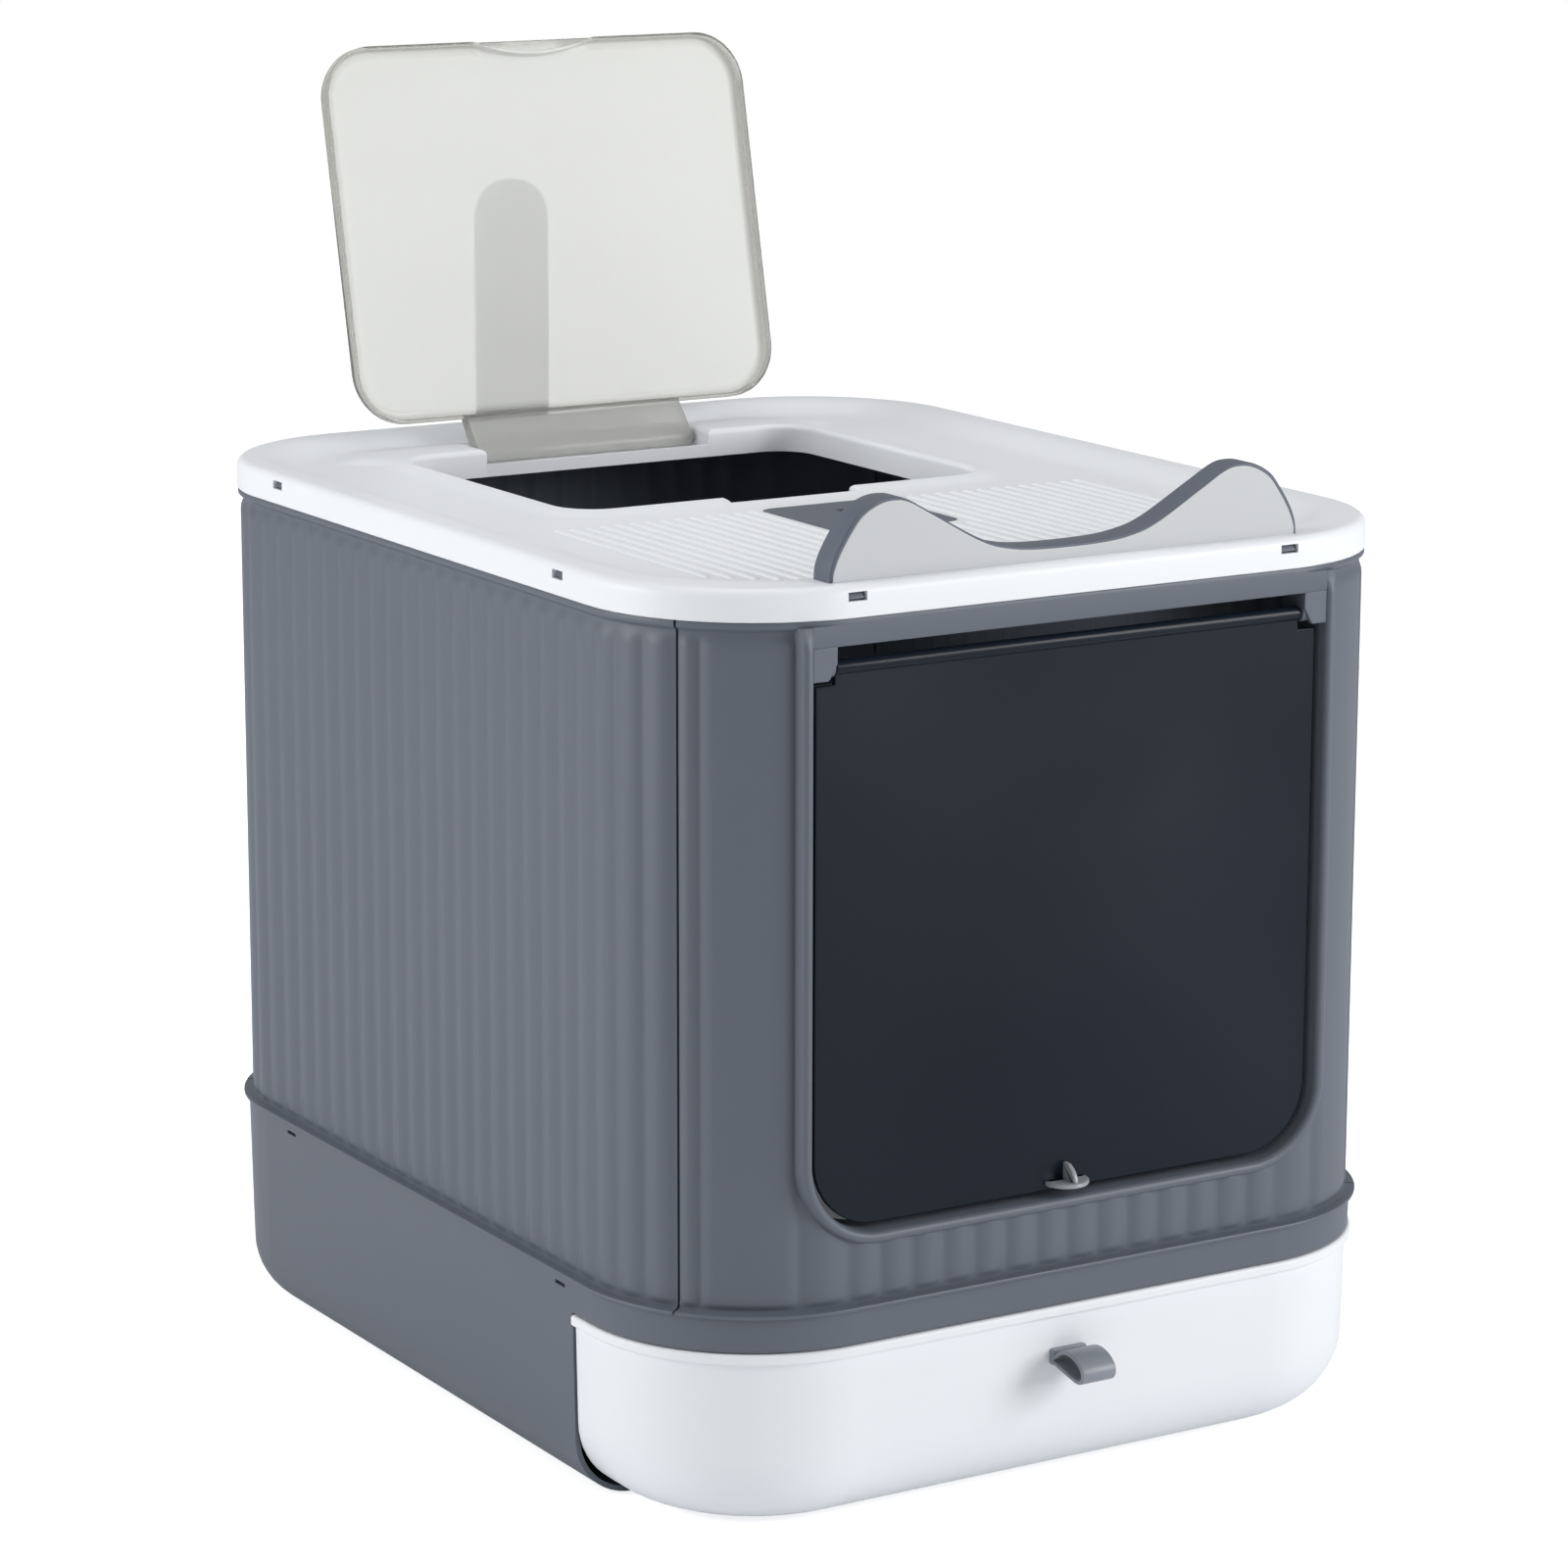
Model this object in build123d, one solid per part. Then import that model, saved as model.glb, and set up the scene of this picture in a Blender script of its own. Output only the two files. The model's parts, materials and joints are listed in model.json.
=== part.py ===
import os
from math import cos, radians, sin, tan

from build123d import *

# Outline of the cover seen in plan, and its corner rounding
box_w = 400.0
box_d = 502.0
corner_r = 84.0
half_w = box_w / 2
half_d = box_d / 2
corner_x = half_w - corner_r
corner_y = half_d - corner_r

# Levels measured up from the floor
bead_z = 107.0
drawer_top_z = 89.5
lip_z = 413.6
skirt_z = 416.0
deck_z = 430.5
shelf_z = deck_z - 5.9
crest_z = deck_z - 4.3

# Sheet thicknesses and fits
skin = 2.4
fit = 0.3
slide_fit = 0.4
seam_gap = 1.2
over = 1.0

# Wall panels: inset of the flute ridges from the outline, depth of the flutes
panel_in = 1.4
flute_depth = 1.5
panel_t = 3.6
plain_proud = 0.3
plain_margin = 3.0
plain_band = 5.0
lip_in = 0.4
seam_angle = 35.2
side_flutes = 20
front_flutes = 14
side_arc_flutes = 3
front_arc_flutes = 3
tongue_top_z = deck_z - 3.1
tongue_foot_z = bead_z - 10.0

# Snap tabs and the windows and slits they show in
window_w = 9.4
window_z = 7.4
window_h = 4.0
tab_play = 0.8
tab_reach = 2.6
side_window_y = corner_y - 27.0
front_window_x = corner_x - 1.5
slit_w = 9.0
slit_h = 1.8
slit_y = corner_y - 29.0
slit_z = bead_z - 7.0
slit_reach = 1.4

# Base chassis, and the thin foot flange of the walls that rests on its edge
base_out = 0.4
bead_out = 3.0
bead_h = 1.8
bead_r = 0.7
tub_taper = 1.0
base_round = 30.0
lintel_z = drawer_top_z + 0.8
cut_y = 102.0 - half_d

# Pull-out drawer
drawer_front_in = 1.0
drawer_tray_in = 9.0
drawer_round = 36.0
drawer_z = skin + slide_fit
drawer_step_y = cut_y - over
drawer_lip_out = 2.4
drawer_lip_h = 5.3
drawer_lip_r = 1.6

# Loop pull on the drawer: its bar, then the loop as seen from the side
pull_w = 20.0
pull_z = 69.3
pull_bar_h = 7.6
pull_bar_t = 3.0
pull_t = 2.0
pull_reach = 28.5
pull_rise = 2.9
pull_nose_r = 5.0
pull_nose_drop = 5.8
pull_nose_turn = 125.0
pull_slope = 11.2

# Door opening and its raised bead
door_w = box_w - 128.0
door_z0 = 140.0
door_z1 = lip_z - 9.6
door_r = 35.0
door_bead = 4.4
bead_proud = 2.0
frame_back_y = 21.0 - half_d
lug_w = 12.0
lug_z = door_z1 - 14.4
lug_wall = 0.6

# Swinging flap
flap_axis_y = 5.7 - half_d
flap_axis_z = door_z1 - 9.6
flap_t = 2.6
flap_gap = 4.9
flap_barrel_r = 3.4
flap_pin_r = 2.2
flap_pin_l = 6.0
flap_ear_drop = 7.4
tab_r = 11.0
tab_lift = 0.3
tab_t = 2.2
tab_web_h = 9.0
tab_web_w = 2.6

# Top opening, its raised rim and the trough that holds the lid
hole_w = box_w - 170.0
hole_y0 = 247.0 - half_d
hole_y1 = half_d - 71.0
hole_r = 20.0
notch_w = 70.0
notch_d = 8.0
trough_half = hole_w / 2 - 50.5
trough_y1 = hole_y1 + 24.9
trough_floor_z = crest_z - 11.2
trough_front_z = crest_z - 7.2
trough_wall = 3.0

# Dish of the deck and ramp round the opening: inset at the sides, front and rear, and rounding
dish_high = (12.0, 24.0, 12.0, 70.0)
dish_low = (34.0, 39.0, 25.0, 54.0)
ramp_low = (31.0, 28.0, 46.0, 44.0)
ramp_high = (3.5, 1.0, 35.0, 24.0)
deck_edge_r = 2.6
skirt_room = 11.0

# Lid, measured from its hinge axis
lid_axis_y = hole_y1 + 16.0
lid_axis_z = crest_z - 4.7
lid_lean = 12.3
lid_turn = -(90.0 + lid_lean)
lid_w = hole_w + 12.0
lid_l = hole_y1 - hole_y0 + 6.0
lid_r = 27.0
lid_start = 19.0
lid_top = 12.5
lid_edge = 5.2
lid_t = 2.2
lid_wall = 2.0
finger_half = 33.0
finger_sag = 6.0
knuckle_half = trough_half - 2.5
knuckle_r = 4.5
lid_pin_r = 2.4
lid_pin_l = 2.2

# Insert plate over the deodoriser pocket
insert_w = 68.0
insert_d = 73.0
insert_y = 181.5 - half_d
insert_r = 7.7
insert_t = 2.0
insert_hole_r = 3.6
insert_hole_y = 15.0
pocket_depth = 13.0
pocket_ledge = 4.0

# Ribs on the landing shelf
rib_pitch = 8.0
rib_w = 3.0
rib_h = 0.8
rib_back_y = 215.0 - half_d
rib_front_y = 38.0 - half_d
rib_side = 52.0
rib_sink = 0.5

# Wavy guard along the front edge
fence_half = half_w - 76.0
fence_h = 35.0
fence_y = 8.0 - half_d
fence_t = 14.0
fence_face_t = 1.6
fence_rim = 1.2
fence_play = 0.2
peg_r = 3.0
peg_l = 6.0
peg_x = fence_half - 54.0

# Scoop and its holder on the back
scoop_half = 55.0
scoop_back_y = half_d + 25.4
scoop_tray_h = 122.0
slot_pitch = 13.0
slot_w = 7.0
slot_low = 24.0
slot_high = 16.0
handle_w = 39.5
handle_t = 8.0
handle_r = 1.5
scoop_top_z = deck_z + 120.5
holder_z = 208.0
holder_h = 56.0
holder_r = 6.0


def block(x0, x1, y0, y1, z0, z1):
    size = Box(x1 - x0, y1 - y0, z1 - z0)
    return Pos((x0 + x1) / 2, (y0 + y1) / 2, (z0 + z1) / 2) * size


def plan(inset):
    return RectangleRounded(box_w - 2 * inset, box_d - 2 * inset, corner_r - inset)


def slab(inset, z0, z1):
    return extrude(Pos(0, 0, z0) * plan(inset), z1 - z0)


def ring(inset_out, inset_in, z0, z1):
    return slab(inset_out, z0, z1) - slab(inset_in, z0 - over, z1 + over)


# Deep tray narrowing downwards, with a rounded bottom edge
def tub(inset, z_top, z_bottom, rounding):
    top = Plane((0, 0, z_top), x_dir=(1, 0, 0), z_dir=(0, 0, -1))
    body = extrude(top * plan(inset), z_top - z_bottom, taper=tub_taper)
    return fillet(body.edges().group_by(Axis.Z)[0], rounding)


# Plate with both its outer edges rounded over
def rolled_slab(inset, z0, z1, rounding):
    body = slab(inset, z0, z1)
    return fillet(body.edges().group_by(Axis.Z)[0] + body.edges().group_by(Axis.Z)[-1], rounding)


def cylinder_x(radius, x0, x1, y, z):
    return Pos((x0 + x1) / 2, y, z) * Rot(0, 90, 0) * Cylinder(radius, x1 - x0)


# Shape drawn in the XZ plane and given depth along Y
def upright(shape, y0, y1):
    plane = Plane((0, y1, 0), x_dir=(1, 0, 0), z_dir=(0, -1, 0))
    return extrude(plane * shape, y1 - y0)


# Side profile drawn in the YZ plane, with its origin at y and z, and given width along X
def lengthwise(shape, x0, x1, y, z):
    plane = Plane((x0, y, z), x_dir=(0, 1, 0), z_dir=(1, 0, 0))
    return extrude(plane * shape, x1 - x0)


# Plan of the fluted wall: arcs bulging out between valley points, all the way round
def flute_face():
    ridge = corner_r - panel_in
    valley = ridge - flute_depth
    points = []

    def bend(sx, sy, start, end, count):
        step = (end - start) / count
        for i in range(count):
            for radius, angle in ((valley, start + i * step), (ridge, start + (i + 0.5) * step)):
                a = radians(angle)
                points.append((sx * corner_x + radius * cos(a), sy * corner_y + radius * sin(a)))

    def run(x0, y0, dx, dy, nx, ny, count):
        for i in range(count):
            for t, out in ((i / count, -flute_depth), ((i + 0.5) / count, 0.0)):
                points.append((x0 + dx * t + nx * out, y0 + dy * t + ny * out))

    side_x = half_w - panel_in
    end_y = half_d - panel_in
    run(side_x, -corner_y, 0, 2 * corner_y, 1, 0, side_flutes)
    bend(1, 1, 0, seam_angle, side_arc_flutes)
    bend(1, 1, seam_angle, 90, front_arc_flutes)
    run(corner_x, end_y, -2 * corner_x, 0, 0, 1, front_flutes)
    bend(-1, 1, 90, 180 - seam_angle, front_arc_flutes)
    bend(-1, 1, 180 - seam_angle, 180, side_arc_flutes)
    run(-side_x, corner_y, 0, -2 * corner_y, -1, 0, side_flutes)
    bend(-1, -1, 180, 180 + seam_angle, side_arc_flutes)
    bend(-1, -1, 180 + seam_angle, 270, front_arc_flutes)
    run(-corner_x, -end_y, 2 * corner_x, 0, 0, -1, front_flutes)
    bend(1, -1, 270, 360 - seam_angle, front_arc_flutes)
    bend(1, -1, 360 - seam_angle, 360, side_arc_flutes)
    count = len(points)
    arcs = [
        ThreePointArc(points[i], points[i + 1], points[(i + 2) % count])
        for i in range(0, count, 2)
    ]
    return Face(Wire(arcs))


# Places where the panels snap into the cover: a block at each, some way in from the outline
def snap_blocks(inset, width, depth, height):
    z = skirt_z + window_z + window_h / 2
    sides = [Pos(s * (half_w - inset), t * side_window_y, z) * Box(depth, width, height)
             for s in (-1, 1) for t in (-1, 1)]
    ends = [Pos(s * front_window_x, t * (half_d - inset), z) * Box(width, depth, height)
            for s in (-1, 1) for t in (-1, 1)]
    return sides + ends


# Places where the side panels snap into the base
def slit_blocks(reach, width, height):
    z = slit_z + slit_h / 2
    middle = half_w + base_out - skin
    return [Pos(s * middle, t * slit_y, z) * Box(2 * reach, width, height)
            for s in (-1, 1) for t in (-1, 1)]


# Thin upright cuts across the wall at the four corner seams
def seam_cuts():
    cut = Pos(corner_r, 0, deck_z / 2) * Box(corner_r, seam_gap, 2 * deck_z)
    turns = ((1, 1, seam_angle), (-1, 1, 180 - seam_angle),
             (-1, -1, 180 + seam_angle), (1, -1, -seam_angle))
    return [Pos(sx * corner_x, sy * corner_y, 0) * Rot(0, 0, turn) * cut for sx, sy, turn in turns]


# The four wall panels come from one fluted ring cut at the corner seams
def wall_panels():
    foot_z = bead_z + bead_h / 2
    inner = panel_in + panel_t
    walls = extrude(Pos(0, 0, foot_z) * flute_face(), lip_z - foot_z)
    walls -= slab(inner, foot_z - over, lip_z + over)
    walls += ring(lip_in, inner, lip_z, skirt_z)
    walls += ring(skin + fit, inner, skirt_z, tongue_top_z)
    walls += ring(skin + fit - base_out, inner, tongue_foot_z, foot_z)
    flange = rolled_slab(-bead_out, foot_z - bead_h, foot_z, bead_r)
    walls += flange - slab(inner, foot_z - bead_h - over, foot_z + over)
    walls += snap_blocks(skin, window_w - tab_play, tab_reach, window_h - tab_play)
    walls += slit_blocks(slit_reach, slit_w - tab_play, slit_h - tab_play)
    walls -= seam_cuts()
    pieces = walls.solids()
    left = min(pieces, key=lambda s: s.center().X)
    right = max(pieces, key=lambda s: s.center().X)
    front = min(pieces, key=lambda s: s.center().Y)
    rear = max(pieces, key=lambda s: s.center().Y)
    return left, right, front, rear


# Upright outline of the doorway grown by some margin
def door_shape(margin, top):
    low = door_z0 - margin
    shape = Pos(0, (low + top) / 2) * Rectangle(door_w + 2 * margin, top - low)
    return fillet(shape.vertices().group_by(Axis.Y)[0], door_r + margin)


def front_panel(blank):
    face_y = panel_in - plain_proud - half_d
    back_y = face_y + panel_t
    panel = blank
    # plain margin round the door and plain band under the cover
    panel += upright(door_shape(door_bead + plain_margin, lip_z), face_y, back_y)
    band = ring(panel_in - plain_proud, panel_in + panel_t, lip_z - plain_band, lip_z)
    band -= seam_cuts()
    panel += min(band.solids(), key=lambda s: s.center().Y)
    # raised bead on three sides and the return wall inside the opening
    bead = upright(door_shape(door_bead, lip_z), face_y - bead_proud, back_y)
    bead -= block(-door_w, door_w, -box_d, face_y, door_z1 + over, deck_z)
    panel += bead
    panel += upright(door_shape(skin, door_z1 + skin), face_y, frame_back_y)
    panel -= upright(door_shape(0, door_z1), face_y - door_r, frame_back_y + door_r)
    # corner lugs that carry the flap's pins
    for sx in (-1, 1):
        x0, x1 = sorted((sx * (door_w / 2 - lug_w), sx * (door_w / 2 + over)))
        panel += block(x0, x1, face_y, face_y + skin, lug_z, door_z1 + over)
        panel += block(x0, x1, face_y, frame_back_y, flap_axis_z, door_z1 + over)
        panel += cylinder_x(flap_barrel_r + lug_wall, x0, x1, flap_axis_y, flap_axis_z)
        end = door_w / 2 - lug_w + flap_pin_l + lug_wall
        h0, h1 = sorted((sx * (door_w / 2 - lug_w - over), sx * end))
        panel -= cylinder_x(flap_pin_r + fit, h0, h1, flap_axis_y, flap_axis_z)
    return panel.solids().sort_by(SortBy.VOLUME)[-1]


def base():
    foot_z = bead_z + bead_h / 2
    shell = tub(-base_out, foot_z - bead_h, 0, base_round)
    shell -= tub(skin - base_out, foot_z + over, skin, base_round - skin)
    shell -= slab(skin - base_out, tongue_foot_z - over, foot_z + over)
    shell -= block(-box_w, box_w, -box_d, cut_y, -over, lintel_z)
    shell -= slit_blocks(2 * skin + over, slit_w, slit_h)
    return shell


def drawer():
    front_room = block(-box_w, box_w, -box_d, drawer_step_y, -over, bead_z)
    rear_room = block(-box_w, box_w, drawer_step_y - over, box_d, -over, bead_z)
    tray = tub(drawer_front_in, drawer_top_z, drawer_z, drawer_round) & front_room
    tray += tub(drawer_tray_in, drawer_top_z, drawer_z, drawer_round) & rear_room
    lip = rolled_slab(drawer_front_in - drawer_lip_out, drawer_top_z - drawer_lip_h, drawer_top_z,
                      drawer_lip_r)
    tray += lip & front_room
    high = drawer_top_z + over
    front_hollow = tub(drawer_front_in + skin, high, drawer_z + skin, drawer_round - skin)
    rear_hollow = tub(drawer_tray_in + skin, high, drawer_z + skin, drawer_round - skin)
    tray -= front_hollow & block(-box_w, box_w, -box_d, drawer_step_y - skin, -over, high)
    tray -= rear_hollow & block(-box_w, box_w, drawer_step_y - corner_r / 4, box_d, -over, high)
    return tray


# Strip arching out from a bar on the drawer's face, round a nose and straight back, as one profile
def drawer_pull():
    face_y = drawer_front_in + tan(radians(tub_taper)) * (drawer_top_z - pull_z) - half_d
    nose_y = pull_nose_r - pull_reach
    turn = radians(pull_nose_turn)
    slope = radians(pull_slope)
    crown = (nose_y + pull_nose_r * cos(turn), pull_nose_r * sin(turn) - pull_nose_drop)
    heel = (nose_y + pull_nose_r * sin(slope), -pull_nose_r * cos(slope) - pull_nose_drop)
    foot = (0.0, heel[1] - heel[0] * tan(slope))
    arch = ThreePointArc((0, 0), (-0.44 * pull_reach, pull_rise), crown)
    nose = ThreePointArc(crown, (-pull_reach, -pull_nose_drop), heel)
    loop = make_face([arch, nose, Line(heel, foot), Line(foot, (0, 0))])
    profile = loop - offset(loop, -pull_t)
    profile += Pos(-pull_bar_t / 2, -pull_bar_h / 2) * Rectangle(pull_bar_t, pull_bar_h)
    pull = lengthwise(profile, -pull_w / 2, pull_w / 2, 0, 0)
    return Pos(0, face_y, pull_z) * Rot(tub_taper, 0, 0) * pull


def flap():
    half = door_w / 2 - flap_gap
    neck = door_w / 2 - lug_w - lug_wall
    low = door_z0 + flap_gap
    ear_z = flap_axis_z - flap_ear_drop
    sheet = Pos(0, (low + ear_z) / 2) * Rectangle(2 * half, ear_z - low)
    sheet = fillet(sheet.vertices().group_by(Axis.Y)[0], door_r - flap_gap)
    sheet += Pos(0, flap_axis_z - flap_ear_drop) * Rectangle(2 * neck, 2 * flap_ear_drop)
    leaf = upright(sheet, flap_axis_y - flap_t / 2, flap_axis_y + flap_t / 2)
    leaf += cylinder_x(flap_barrel_r, -neck, neck, flap_axis_y, flap_axis_z)
    reach = door_w / 2 - lug_w + flap_pin_l
    leaf += cylinder_x(flap_pin_r, -reach, reach, flap_axis_y, flap_axis_z)
    return leaf


# Half-round lifting shelf low on the flap, with a web above it
def flap_tab():
    face_y = flap_axis_y - flap_t / 2
    low = door_z0 + flap_gap + tab_lift
    shelf = Circle(tab_r) & Pos(0, -tab_r / 2) * Rectangle(2 * tab_r, tab_r)
    shelf = extrude(Pos(0, face_y, low) * shelf, tab_t)
    web = Polyline((0, 0), (-0.85 * tab_r, 0), (-0.25 * tab_r, 0.75 * tab_web_h), (0, tab_web_h), (0, 0))
    side = lengthwise(make_face(web), -tab_web_w / 2, tab_web_w / 2, face_y, low + tab_t / 2)
    return shelf + side


# Drawn shut with its hinge axis at the origin, then turned to its open rest
def lid():
    mid = -(lid_start + lid_l / 2)
    outline = RectangleRounded(lid_w, lid_l, lid_r)
    plate = extrude(Pos(0, mid, lid_top - lid_t) * outline, lid_t)
    plate = fillet(plate.edges().group_by(Axis.Z)[-1], lid_t / 2)
    bow = (finger_half ** 2 + finger_sag ** 2) / (2 * finger_sag)
    walls = outline - Pos(0, -lid_l / 2 - bow + finger_sag) * Circle(bow)
    walls -= offset(walls, -lid_wall)
    cover = plate + extrude(Pos(0, mid, lid_edge) * walls, lid_top - lid_t / 2 - lid_edge)
    # hinge knuckle: a round bar that widens into the back edge of the plate
    back = -lid_start - lid_wall
    top_point = (0.4 * knuckle_r, 0.9165 * knuckle_r)
    low_point = (-0.445 * knuckle_r, -0.8955 * knuckle_r)
    knuckle = Circle(knuckle_r) + make_face(Polyline(
        top_point, (-lid_start, lid_top), (back, lid_top - lid_t / 4),
        (back, lid_edge), (-lid_start, lid_edge), low_point, top_point))
    cover += lengthwise(knuckle, -knuckle_half, knuckle_half, 0, 0)
    pin_end = trough_half + lid_pin_l
    cover += cylinder_x(lid_pin_r, -pin_end, pin_end, 0, 0)
    return Pos(0, lid_axis_y, lid_axis_z) * Rot(lid_turn, 0, 0) * cover


# Rounded rectangle inside the cover's outline
def deck_shape(insets, z):
    side, front, rear, rounding = insets
    shape = RectangleRounded(box_w - 2 * side, box_d - front - rear, rounding)
    return Pos(0, (front - rear) / 2, z) * shape


# Rounded rectangle round the top opening
def rim_shape(margins, z):
    side, front, rear, rounding = margins
    y0 = hole_y0 - front
    y1 = hole_y1 + rear
    return Pos(0, (y0 + y1) / 2, z) * RectangleRounded(hole_w + 2 * side, y1 - y0, rounding)


def top_cover():
    shell = slab(0, skirt_z, deck_z)
    shell = fillet(shell.edges().group_by(Axis.Z)[-1], deck_edge_r)
    # dished deck falling to the landing shelf, then a ramp up to the opening's rim
    shell -= loft([deck_shape(dish_high, deck_z + 0.01), deck_shape(dish_low, shelf_z)])
    shell += loft([rim_shape(ramp_low, shelf_z - rib_sink), rim_shape(ramp_high, crest_z)])
    shell += landing_ribs()
    shell -= slab(skin, skirt_z - over, shelf_z - skin)
    shell -= ring(skin, skirt_room, skirt_z, deck_z - skin)
    # hanging trough for the hinge and hanging pocket for the deodoriser
    trough_out = trough_half + trough_wall
    shell += block(-trough_out, trough_out, hole_y1, trough_y1 + skin,
                   trough_floor_z - skin, crest_z - rib_sink)
    pocket_x = insert_w / 2
    pocket_y0 = insert_y - insert_d / 2
    pocket_y1 = insert_y + insert_d / 2
    shell += block(-pocket_x, pocket_x, pocket_y0, pocket_y1, shelf_z - pocket_depth, shelf_z - rib_sink)
    # opening with its finger notch, then the trough's room and pin holes
    hole_d = hole_y1 - hole_y0
    low = trough_floor_z - hole_r
    hole = Pos(0, (hole_y0 + hole_y1) / 2, low) * RectangleRounded(hole_w, hole_d, hole_r)
    shell -= extrude(hole, deck_z - low)
    shell -= block(-notch_w / 2, notch_w / 2, hole_y0 - notch_d, hole_y0 + notch_d, low, deck_z)
    shell -= block(-trough_half, trough_half, hole_y1 + skin, trough_y1, trough_floor_z, deck_z)
    shell -= block(-trough_half, trough_half, hole_y1 - skin, trough_y1, trough_front_z, deck_z)
    pin_end = trough_half + lid_pin_l + fit
    shell -= cylinder_x(lid_pin_r + fit, -pin_end, pin_end, lid_axis_y, lid_axis_z)
    # seat of the insert plate and the pocket under it
    seat = RectangleRounded(insert_w + 2 * fit, insert_d + 2 * fit, insert_r + fit)
    shell -= extrude(Pos(0, insert_y, shelf_z - insert_t) * seat, deck_z - shelf_z + insert_t)
    shell -= block(pocket_ledge - pocket_x, pocket_x - pocket_ledge, pocket_y0 + pocket_ledge,
                   pocket_y1 - pocket_ledge, shelf_z - pocket_depth + skin, shelf_z)
    shell -= snap_blocks(0, window_w, 2 * (skin + fit), window_h)
    for sx in (-1, 1):
        socket = Cylinder(peg_r + fit, 2 * (peg_l + over))
        shell -= Pos(sx * peg_x, fence_y + fence_t / 2, deck_z) * socket
    return shell


# Raised ribs on the landing shelf, left out where the insert lies and shortened at the corners
def landing_ribs():
    ribs = []
    count = int((half_w - rib_side) / rib_pitch)
    for i in range(-count, count + 1):
        x = i * rib_pitch
        front = rib_front_y + max(0.0, abs(x) - corner_x + 2 * rib_w)
        back = rib_back_y
        if abs(x) < insert_w / 2 + rib_w:
            back = insert_y - insert_d / 2 - 2 * rib_w
        ribs.append(block(x - rib_w / 2, x + rib_w / 2, front, back, shelf_z - rib_sink, shelf_z + rib_h))
    return ribs


def insert_plate():
    plate = RectangleRounded(insert_w, insert_d, insert_r) - Pos(0, insert_hole_y) * Circle(insert_hole_r)
    return extrude(Pos(0, insert_y, shelf_z - insert_t) * plate, insert_t)


# Two humps with a low dip between: shares of the half width and of the height, end to middle
def fence_outline(rim):
    rise = ((1.0, 0.0), (0.994, 0.187), (0.97, 0.388), (0.923, 0.647), (0.876, 0.841), (0.805, 0.972),
            (0.74, 1.0), (0.68, 0.954), (0.579, 0.76), (0.38, 0.377), (0.258, 0.246), (0.115, 0.197))
    half = fence_half - rim
    right = [(u * half, max(0.0, h * fence_h - rim)) for u, h in rise]
    left = [(-x, h) for x, h in reversed(right)]
    return make_face([Spline(right + left), Line(left[-1], right[0])])


def fence():
    back = upright(Pos(0, deck_z) * fence_outline(0), fence_y, fence_y + fence_t)
    back -= upright(Pos(0, deck_z) * fence_outline(fence_rim), fence_y - over, fence_y + fence_face_t)
    for sx in (-1, 1):
        back += Pos(sx * peg_x, fence_y + fence_t / 2, deck_z) * Cylinder(peg_r, 2 * peg_l)
    return back


def fence_face():
    outline = fence_outline(fence_rim + fence_play)
    return upright(Pos(0, deck_z) * outline, fence_y, fence_y + fence_face_t)


# Litter scoop standing blade down, with its slotted floor away from the box
def scoop():
    low = holder_z + skin + fit
    high = low + scoop_tray_h
    front_y = half_d - panel_in + skin + slide_fit
    tray = block(-scoop_half, scoop_half, front_y, scoop_back_y, low, high)
    tray -= block(-scoop_half + skin, scoop_half - skin, front_y - over, scoop_back_y - skin,
                  low - over, high - skin)
    for i in range(-3, 4):
        x = i * slot_pitch
        tray -= block(x - slot_w / 2, x + slot_w / 2, scoop_back_y - 2 * skin, scoop_back_y + over,
                      low + slot_low, high - slot_high)
    foot = high - handle_t
    top = scoop_top_z - handle_w / 2
    grip = Pos(0, (foot + top) / 2) * Rectangle(handle_w, top - foot)
    grip += Pos(0, top) * Circle(handle_w / 2)
    handle = upright(grip, scoop_back_y - handle_t, scoop_back_y)
    return tray + fillet(handle.edges().group_by(Axis.Y)[0], handle_r)


def scoop_holder():
    back_y = half_d - panel_in
    inner_y1 = scoop_back_y + over
    half = scoop_half + skin
    outer = block(-half - skin, half + skin, back_y, inner_y1 + skin, holder_z, holder_z + holder_h)
    outer = fillet(outer.edges().filter_by(Axis.Z).group_by(Axis.Y)[-1], holder_r)
    room = block(-half, half, back_y + skin, inner_y1, holder_z + skin, holder_z + holder_h + over)
    return outer - fillet(room.edges().filter_by(Axis.Z).group_by(Axis.Y)[-1], holder_r - skin)


os.makedirs("parts", exist_ok=True)
left_wall, right_wall, front_wall, rear_wall = wall_panels()
nodes = {
    "base": base(),
    "drawer": drawer(),
    "drawer_pull": drawer_pull(),
    "front_panel": front_panel(front_wall),
    "rear_panel": rear_wall,
    "left_panel": left_wall,
    "right_panel": right_wall,
    "top_cover": top_cover(),
    "lid": lid(),
    "insert_plate": insert_plate(),
    "fence": fence(),
    "fence_face": fence_face(),
    "flap": flap(),
    "flap_tab": flap_tab(),
    "scoop": scoop(),
    "scoop_holder": scoop_holder(),
}
for name, shape in nodes.items():
    box = shape.bounding_box()
    print(name, len(shape.solids()), round(shape.volume), box.min, box.max)
    export_step(shape, f"parts/{name}.step")
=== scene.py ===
import json
import math

import bmesh
import bpy
import numpy as np
from mathutils import Matrix


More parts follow.
